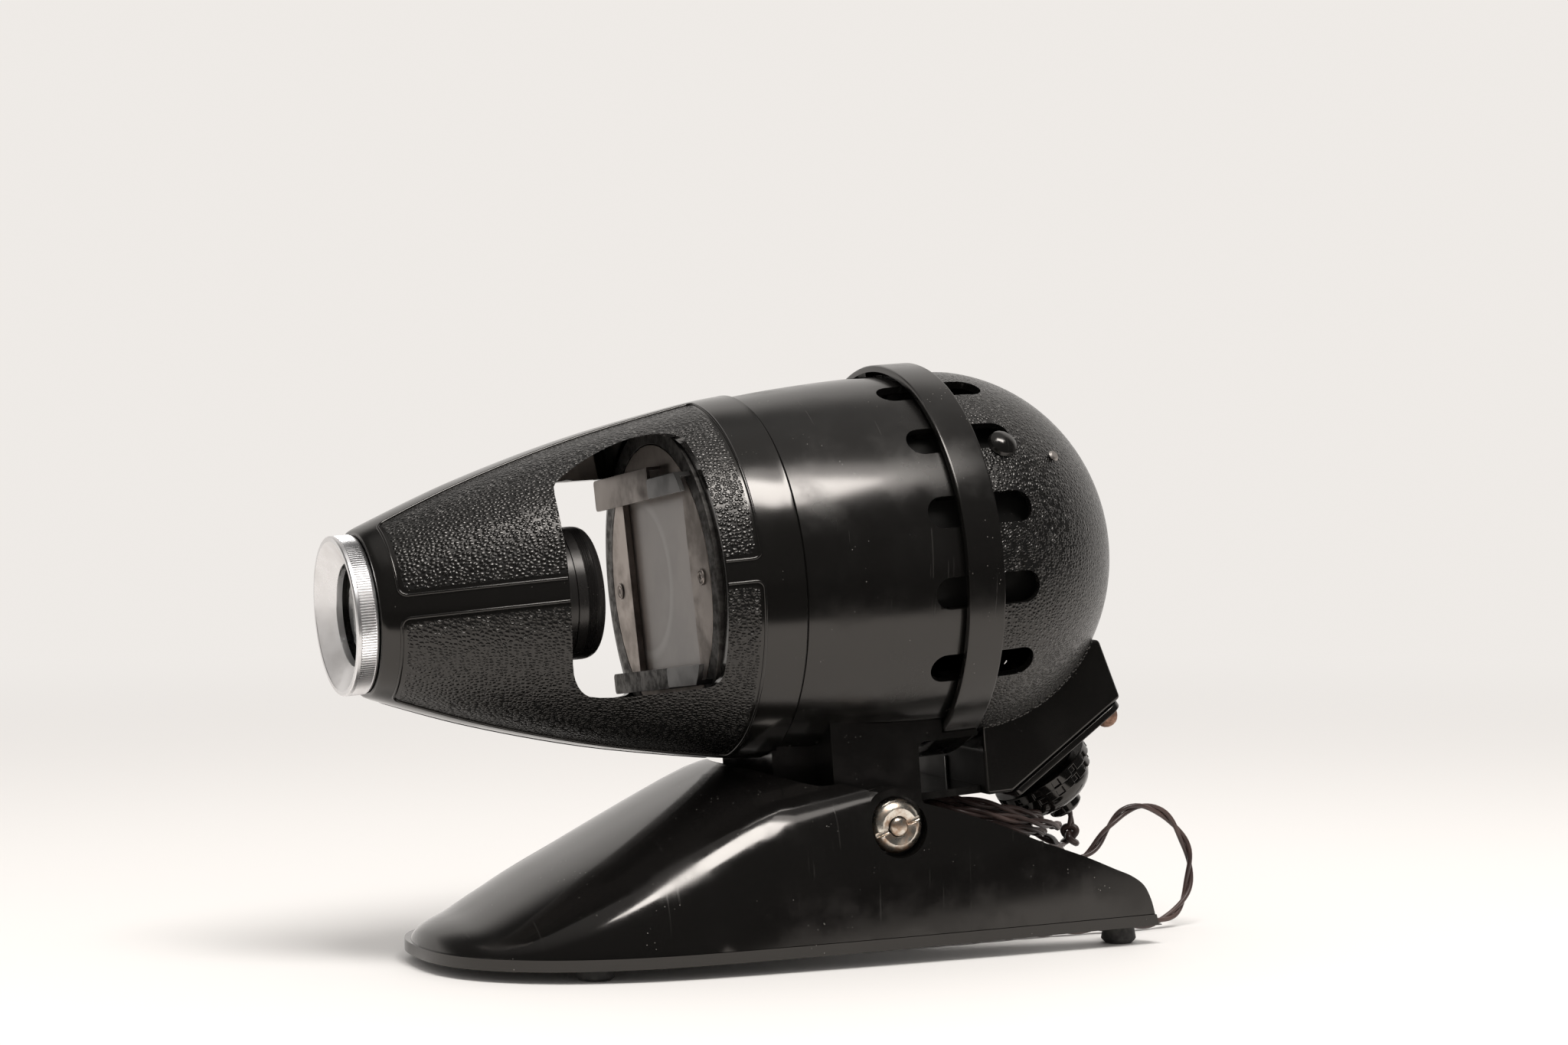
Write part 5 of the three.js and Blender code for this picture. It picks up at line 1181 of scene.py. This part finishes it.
def hull(name, inset, front, rear, floor, stations, sides):
    """Cross-sections joined from the front to the rear, at given shares of the way."""
    vertices, faces = [], []
    for share in stations:
        vertices += hull_ring(front + share * (rear - front), inset, floor, sides)
    count = sides + 3
    for i in range(len(stations) - 1):
        for j in range(count):
            a, b = i * count + j, i * count + (j + 1) % count
            faces.append([a, a + count, b + count, b])
    faces.append(list(range(count)))
    faces.append([(len(stations) - 1) * count + j for j in range(count - 1, -1, -1)])
    return turn_outwards(new_piece(name, vertices, faces))


def lip_tool(floor):
    """The thin lip that runs round the base's foot, a little proud of its sides."""
    outline = []
    for i in range(49):
        share = (i / 48) ** 2
        x = BASE_FRONT - LIP_OUT + share * (BASE_REAR + 2 * LIP_OUT - BASE_FRONT)
        at = min(max(x + LIP_OUT * (1 - share), BASE_FRONT), BASE_REAR)
        outline.append((x, 0 if i == 0 else base_half_width(at) + LIP_OUT))
    outline = [(x, -y) for x, y in outline[:0:-1]] + outline
    lip = prism("lip_tool", outline, floor, 2 * LIP_REAR + LIP, along="z")
    front, rear = BASE_FRONT - PAST, BASE_REAR + PAST
    slice_between = [(front, LIP_FRONT), (rear, LIP_REAR), (rear, LIP_REAR + LIP), (front, LIP_FRONT + LIP)]
    return carve(lip, "INTERSECT", prism("lip_band", slice_between, -ASIDE, ASIDE))


def cheek_tool():
    """Everything above the cheeks' top edge, behind the crest."""
    run = BASE_REAR - CREST_X
    shares = [i / 40 * CHEEK[-1][0] for i in range(41)]
    edge = [(CREST_X + share * run, CREST * smooth_table(CHEEK, share)) for share in shares]
    corner = smooth_line([(x, 0, z) for x, z in [edge[-1], *CHEEK_CORNER]], 1.0)
    rear = BASE_REAR + PAST
    outline = [(CREST_X, ABOVE), *edge, *[(p.x, p.z) for p in corner[1:]], (rear, LIP_REAR), (rear, ABOVE)]
    return prism("cheek_tool", outline, -ASIDE, ASIDE)


def trough_tool():
    """The open trough between the cheeks, with a round front end."""
    rear = BASE_REAR + PAST
    outline = [(rear, -38), (TROUGH_X, -TROUGH_HALF)]
    for turn in range(6, 180, 6):
        a = math.radians(turn)
        outline.append((TROUGH_X - TROUGH_DEPTH * math.sin(a), -TROUGH_HALF * math.cos(a)))
    outline += [(TROUGH_X, TROUGH_HALF), (rear, 38)]
    return prism("trough_tool", outline, LIP_REAR + LIP, ABOVE, along="z")


def across_pivot(side):
    """A place whose x axis leaves the pivot sideways."""
    return Matrix.Translation(PIVOT) @ Matrix.Rotation(math.radians(90 * side), 4, "Z")


def make_base():
    """The hollow base moulding with its lip, cheeks, pivot bosses and foot bosses."""
    floor = LIP_FRONT - 4
    front, rear = BASE_FRONT - PAST, BASE_REAR + PAST
    nose_end = (40 / 90) ** 2
    fine = [(i / 90) ** 2 for i in range(40)] + [nose_end + (1 - nose_end) * i / 44 for i in range(45)]
    coarse = fine[::3] + [1.0]
    shell = hull("base_moulding", 0, BASE_FRONT, BASE_REAR, floor, fine, 72)
    inner = hull("hollow_tool", BASE_WALL, BASE_FRONT + BASE_WALL, rear, floor - 4, coarse, 36)
    carve(shell, "UNION", lip_tool(floor))
    carve(shell, "DIFFERENCE", inner, cheek_tool(), trough_tool())
    for side in (-1, 1):
        boss = revolved("boss_tool", [(38.4, 0), (38.4, 12), (46.4, 12), (46.4, 0)], 64, across_pivot(side))
        carve(shell, "UNION", boss)
        for x in FEET:
            y, wall, low = base_half_width(x) - FOOT_INSET, base_half_width(x) - 2, lip_height(x)
            stand = Matrix.Translation((x, y * side, 0)) @ Matrix.Rotation(math.radians(-90), 4, "Y")
            profile = [(low, 0), (low, FOOT_BOSS), (FOOT_TOP, FOOT_BOSS), (FOOT_TOP, 0)]
            foot = revolved("boss_tool", profile, 32, stand)
            outline = [(x - 2, low), (x + 2, low), (x + 2, FOOT_TOP), (x - 2, FOOT_TOP)]
            web = prism("web_tool", outline, *sorted((y * side, wall * side)))
            carve(shell, "UNION", foot, web)
    under = [(front, floor - 4), (rear, floor - 4), (rear, LIP_REAR), (front, LIP_FRONT)]
    carve(shell, "DIFFERENCE", prism("under_tool", under, -ASIDE, ASIDE))
    for side in (-1, 1):
        place = across_pivot(side)
        recess = revolved("recess_tool", [(43.8, 0), (43.8, 9.7), (ASIDE, 9.7), (ASIDE, 0)], 64, place)
        bore = revolved("bore_tool", [(30, 0), (30, 3.3), (ASIDE, 3.3), (ASIDE, 0)], 32, place)
        carve(shell, "DIFFERENCE", recess, bore)
    shell.data.transform(AT_BASE)
    soften_edges(shell, 0.5, 48, 3)
    smooth_by_angle(shell, 40)
    finish_piece(shell, FINISH["base"], "base", "bakelite", "base_shell")


# ---------------------------------------------------------------- table, backdrop and lights
BACKGROUND = (0.86, 0.828, 0.796)


def make_floor():
    """A pale table that fades into the backdrop; in reflections it ends in front of the projector."""
    material, tree, shader = new_material("pale_table", (0.79, 0.765, 0.74), 0.7)
    shader.inputs["Specular IOR Level"].default_value = 0.25
    distance = tree.nodes.new("ShaderNodeVectorMath")
    distance.operation = "LENGTH"
    tree.links.new(object_place(tree), distance.inputs[0])
    far = between(tree, distance.outputs["Value"], 0.35, 1.5)
    split = tree.nodes.new("ShaderNodeSeparateXYZ")
    tree.links.new(object_place(tree), split.inputs[0])
    edge = between(tree, split.outputs["Y"], -0.3, -0.26, 1.0, 0.0)
    dark = tree.nodes.new("ShaderNodeEmission")
    dark.inputs["Color"].default_value = (0.02, 0.02, 0.02, 1.0)
    light = tree.nodes.new("ShaderNodeEmission")
    light.inputs["Color"].default_value = (*BACKGROUND, 1.0)
    seen = tree.nodes.new("ShaderNodeLightPath")
    rays = calc(tree, "MAXIMUM", seen.outputs["Is Camera Ray"], seen.outputs["Is Glossy Ray"])
    rays = calc(tree, "MAXIMUM", rays, seen.outputs["Is Transmission Ray"])
    mix = tree.nodes.new("ShaderNodeMixShader")
    tree.links.new(calc(tree, "MULTIPLY", rays, far), mix.inputs[0])
    tree.links.new(shader.outputs[0], mix.inputs[1])
    tree.links.new(light.outputs[0], mix.inputs[2])
    ended = tree.nodes.new("ShaderNodeMixShader")
    tree.links.new(calc(tree, "MULTIPLY", seen.outputs["Is Glossy Ray"], edge), ended.inputs[0])
    tree.links.new(mix.outputs[0], ended.inputs[1])
    tree.links.new(dark.outputs[0], ended.inputs[2])
    tree.links.new(ended.outputs[0], tree.nodes["Material Output"].inputs["Surface"])
    floor = new_piece("table_top", [(-20, -20, 0), (20, -20, 0), (20, 20, 0), (-20, 20, 0)], [[0, 1, 2, 3]])
    floor.data.materials.append(material)


def make_world():
    """A pale backdrop behind the projector and a dim room in front of it."""
    world = bpy.data.worlds.new("studio")
    scene.world = world
    world.use_nodes = True
    tree = world.node_tree

    def light(colour, strength):
        node = tree.nodes.new("ShaderNodeBackground")
        node.inputs["Color"].default_value = (*colour, 1.0)
        node.inputs["Strength"].default_value = strength
        return node.outputs[0]

    def mixed(factor, first, second):
        node = tree.nodes.new("ShaderNodeMixShader")
        tree.links.new(factor, node.inputs[0])
        tree.links.new(first, node.inputs[1])
        tree.links.new(second, node.inputs[2])
        return node.outputs[0]

    split = tree.nodes.new("ShaderNodeSeparateXYZ")
    tree.links.new(tree.nodes.new("ShaderNodeTexCoord").outputs["Generated"], split.inputs[0])
    x, y, z = split.outputs
    top = calc(tree, "ADD", 0.7, calc(tree, "MULTIPLY", x, 0.4))
    low = between(tree, z, calc(tree, "SUBTRACT", top, 0.14), calc(tree, "ADD", top, 0.14), 1.0, 0.0)
    behind = between(tree, y, -0.2, 0.3)
    backdrop = calc(tree, "MULTIPLY", low, behind)
    room = mixed(between(tree, z, 0.78, 0.98), light((1, 0.98, 0.96), 0.06), light((1, 0.98, 0.96), 0.4))
    shiny = mixed(backdrop, room, light(BACKGROUND, 1.0))
    path = tree.nodes.new("ShaderNodeLightPath")
    direct = calc(tree, "MAXIMUM", path.outputs["Is Camera Ray"], path.outputs["Is Transmission Ray"])
    soft = mixed(path.outputs["Is Glossy Ray"], light((1, 0.985, 0.97), 0.8), shiny)
    tree.links.new(mixed(direct, soft, light(BACKGROUND, 1.0)), tree.nodes["World Output"].inputs["Surface"])


def softbox(name, direction, distance, along, size, radiance, colour=(1, 0.985, 0.97)):
    """An even panel seen from the projector in one direction, its long side lying along another."""
    data = bpy.data.lights.new(name, "AREA")
    data.shape = "RECTANGLE"
    data.size, data.size_y = size
    data.energy = radiance * math.pi * size[0] * size[1]
    data.color = colour
    lamp = bpy.data.objects.new(name, data)
    outwards = Vector(direction).normalized()
    across = outwards.cross(Vector(along)).normalized()
    turn = Matrix((across.cross(outwards), across, outwards)).transposed()
    lamp.matrix_world = Matrix.Translation(Vector((0, 0, 0.1)) + distance * outwards) @ turn.to_4x4()
    scene.collection.objects.link(lamp)


def make_lights():
    """A long softbox above the near side and a weaker one beside it."""
    softbox("main_softbox", (-0.028, -0.497, 0.868), 1.6, (0.468, -0.324, -0.17), (0.98, 0.38), 18)
    softbox("side_glow", (0.19, -0.46, 0.866), 1.6, (0.5, -0.3, -0.2), (0.7, 0.32), 3)


make_camera()
make_lead()
make_world()
make_floor()
make_lights()
make_nose()
make_beads()
make_barrel()
make_cap()
make_chute_rib()
make_band()
make_light_shield()
make_lens_ring()
make_lens_tube()
make_stage_screws()
make_base()

# CAD nodes drawn in their own form: finish, body, slot and the width of the softened edges
OWN_FORM = {
    "foot_front_near": ("rubber", "base", "rubber", 0.3),
    "foot_front_far": ("rubber", "base", "rubber", 0.3),
    "foot_rear_near": ("rubber", "base", "rubber", 0.3),
    "foot_rear_far": ("rubber", "base", "rubber", 0.3),
    "pivot_rod": ("steel", "base", "steel", 0.3),
    "pivot_washer_near": ("steel", "base", "steel", 0),
    "pivot_washer_far": ("steel", "base", "steel", 0),
    "pivot_nut_near": ("nickel", "nut_near", "nickel", 0.25),
    "pivot_nut_far": ("nickel", "nut_far", "nickel", 0.25),
    "plug_body": ("small", "base", "bakelite", 0.5),
    "plug_pin_near": ("brass", "base", "brass", 0.2),
    "plug_pin_far": ("brass", "base", "brass", 0.2),
    "pivot_saddle": ("small", "head", "bakelite", 0.5),
    "chute_cover": ("small", "head", "bakelite", 0.4),
    "cover_screw": ("copper", "head", "nickel", 0.2),
    "lampholder_body": ("holder", "head", "bakelite", 0.3),
    "lamp_cap": ("brass", "head", "brass", 0),
    "reflector": ("mirror", "head", "mirror", 0),
    "reflector_strap": ("steel", "head", "steel", 0),
    "reflector_rivet_near": ("steel", "head", "brass", 0),
    "reflector_rivet_far": ("steel", "head", "brass", 0),
    "condenser_mount": ("black_metal", "head", "black_metal", 0),
    "stage_seat": ("casting", "nose", "black_metal", 0.2),
    "slide_stage": ("plate", "nose", "steel", 0.2),
    "slide_rail_top": ("rail", "nose", "steel", 0.12),
    "slide_rail_bottom": ("casting", "nose", "steel", 0.12),
    "rail_clip_top": ("black_metal", "nose", "black_metal", 0.2),
    "rail_clip_bottom": ("black_metal", "nose", "black_metal", 0.2),
    "rear_retainer": ("black_metal", "lens_optics", "black_metal", 0),
    "clamp_ring": ("holder", "clamp_ring_body", "bakelite", 0.3),
    "lock_ring": ("holder", "lock_ring_body", "bakelite", 0.3),
    "catch_button_near": ("small", "catch_near", "bakelite", 0),
    "catch_button_far": ("small", "catch_far", "bakelite", 0),
}
# CAD nodes that keep their mesh and only take a finish
GLAZED = {"heat_glass": "pane", "front_element": "glass", "rear_element": "glass", "condenser_front": "glass",
          "condenser_rear": "glass", "lamp_bulb": "bulb"}


def draw_own_forms():
    """Draws the nodes listed above; the near nut's slot is turned to where it points at rest."""
    pivot = AT_BASE @ Matrix.Translation(PIVOT)
    slot_turn = pivot @ Matrix.Rotation(math.radians(-40), 4, "Y") @ pivot.inverted()
    for node, (finish, body, slot, width) in OWN_FORM.items():
        turn = slot_turn if node == "pivot_nut_near" else None
        redrawn(node, FINISH[finish], body, slot, width, turn)


def make_rod_ends():
    """A low dome on each end of the pivot rod, inside its nut."""
    end = abs(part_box("pivot_rod")[0].y) * 1000
    profile = [(end - 0.8, 0), (end - 0.8, 2.9), (end, 2.9), (end + 0.35, 2.6), (end + 0.65, 2),
               (end + 0.85, 1.1), (end + 0.9, 0)]
    for hand, side in (("near", -1), ("far", 1)):
        dome = revolved("rod_end_" + hand, profile, 40, AT_BASE @ across_pivot(side))
        smooth_by_angle(dome, 50, False)
        finish_piece(dome, FINISH["nickel"], "base", "nickel")


draw_own_forms()
make_rod_ends()
for node, finish in GLAZED.items():
    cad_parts[node].data.materials.clear()
    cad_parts[node].data.materials.append(FINISH[finish])

scene.view_settings.view_transform = "Standard"
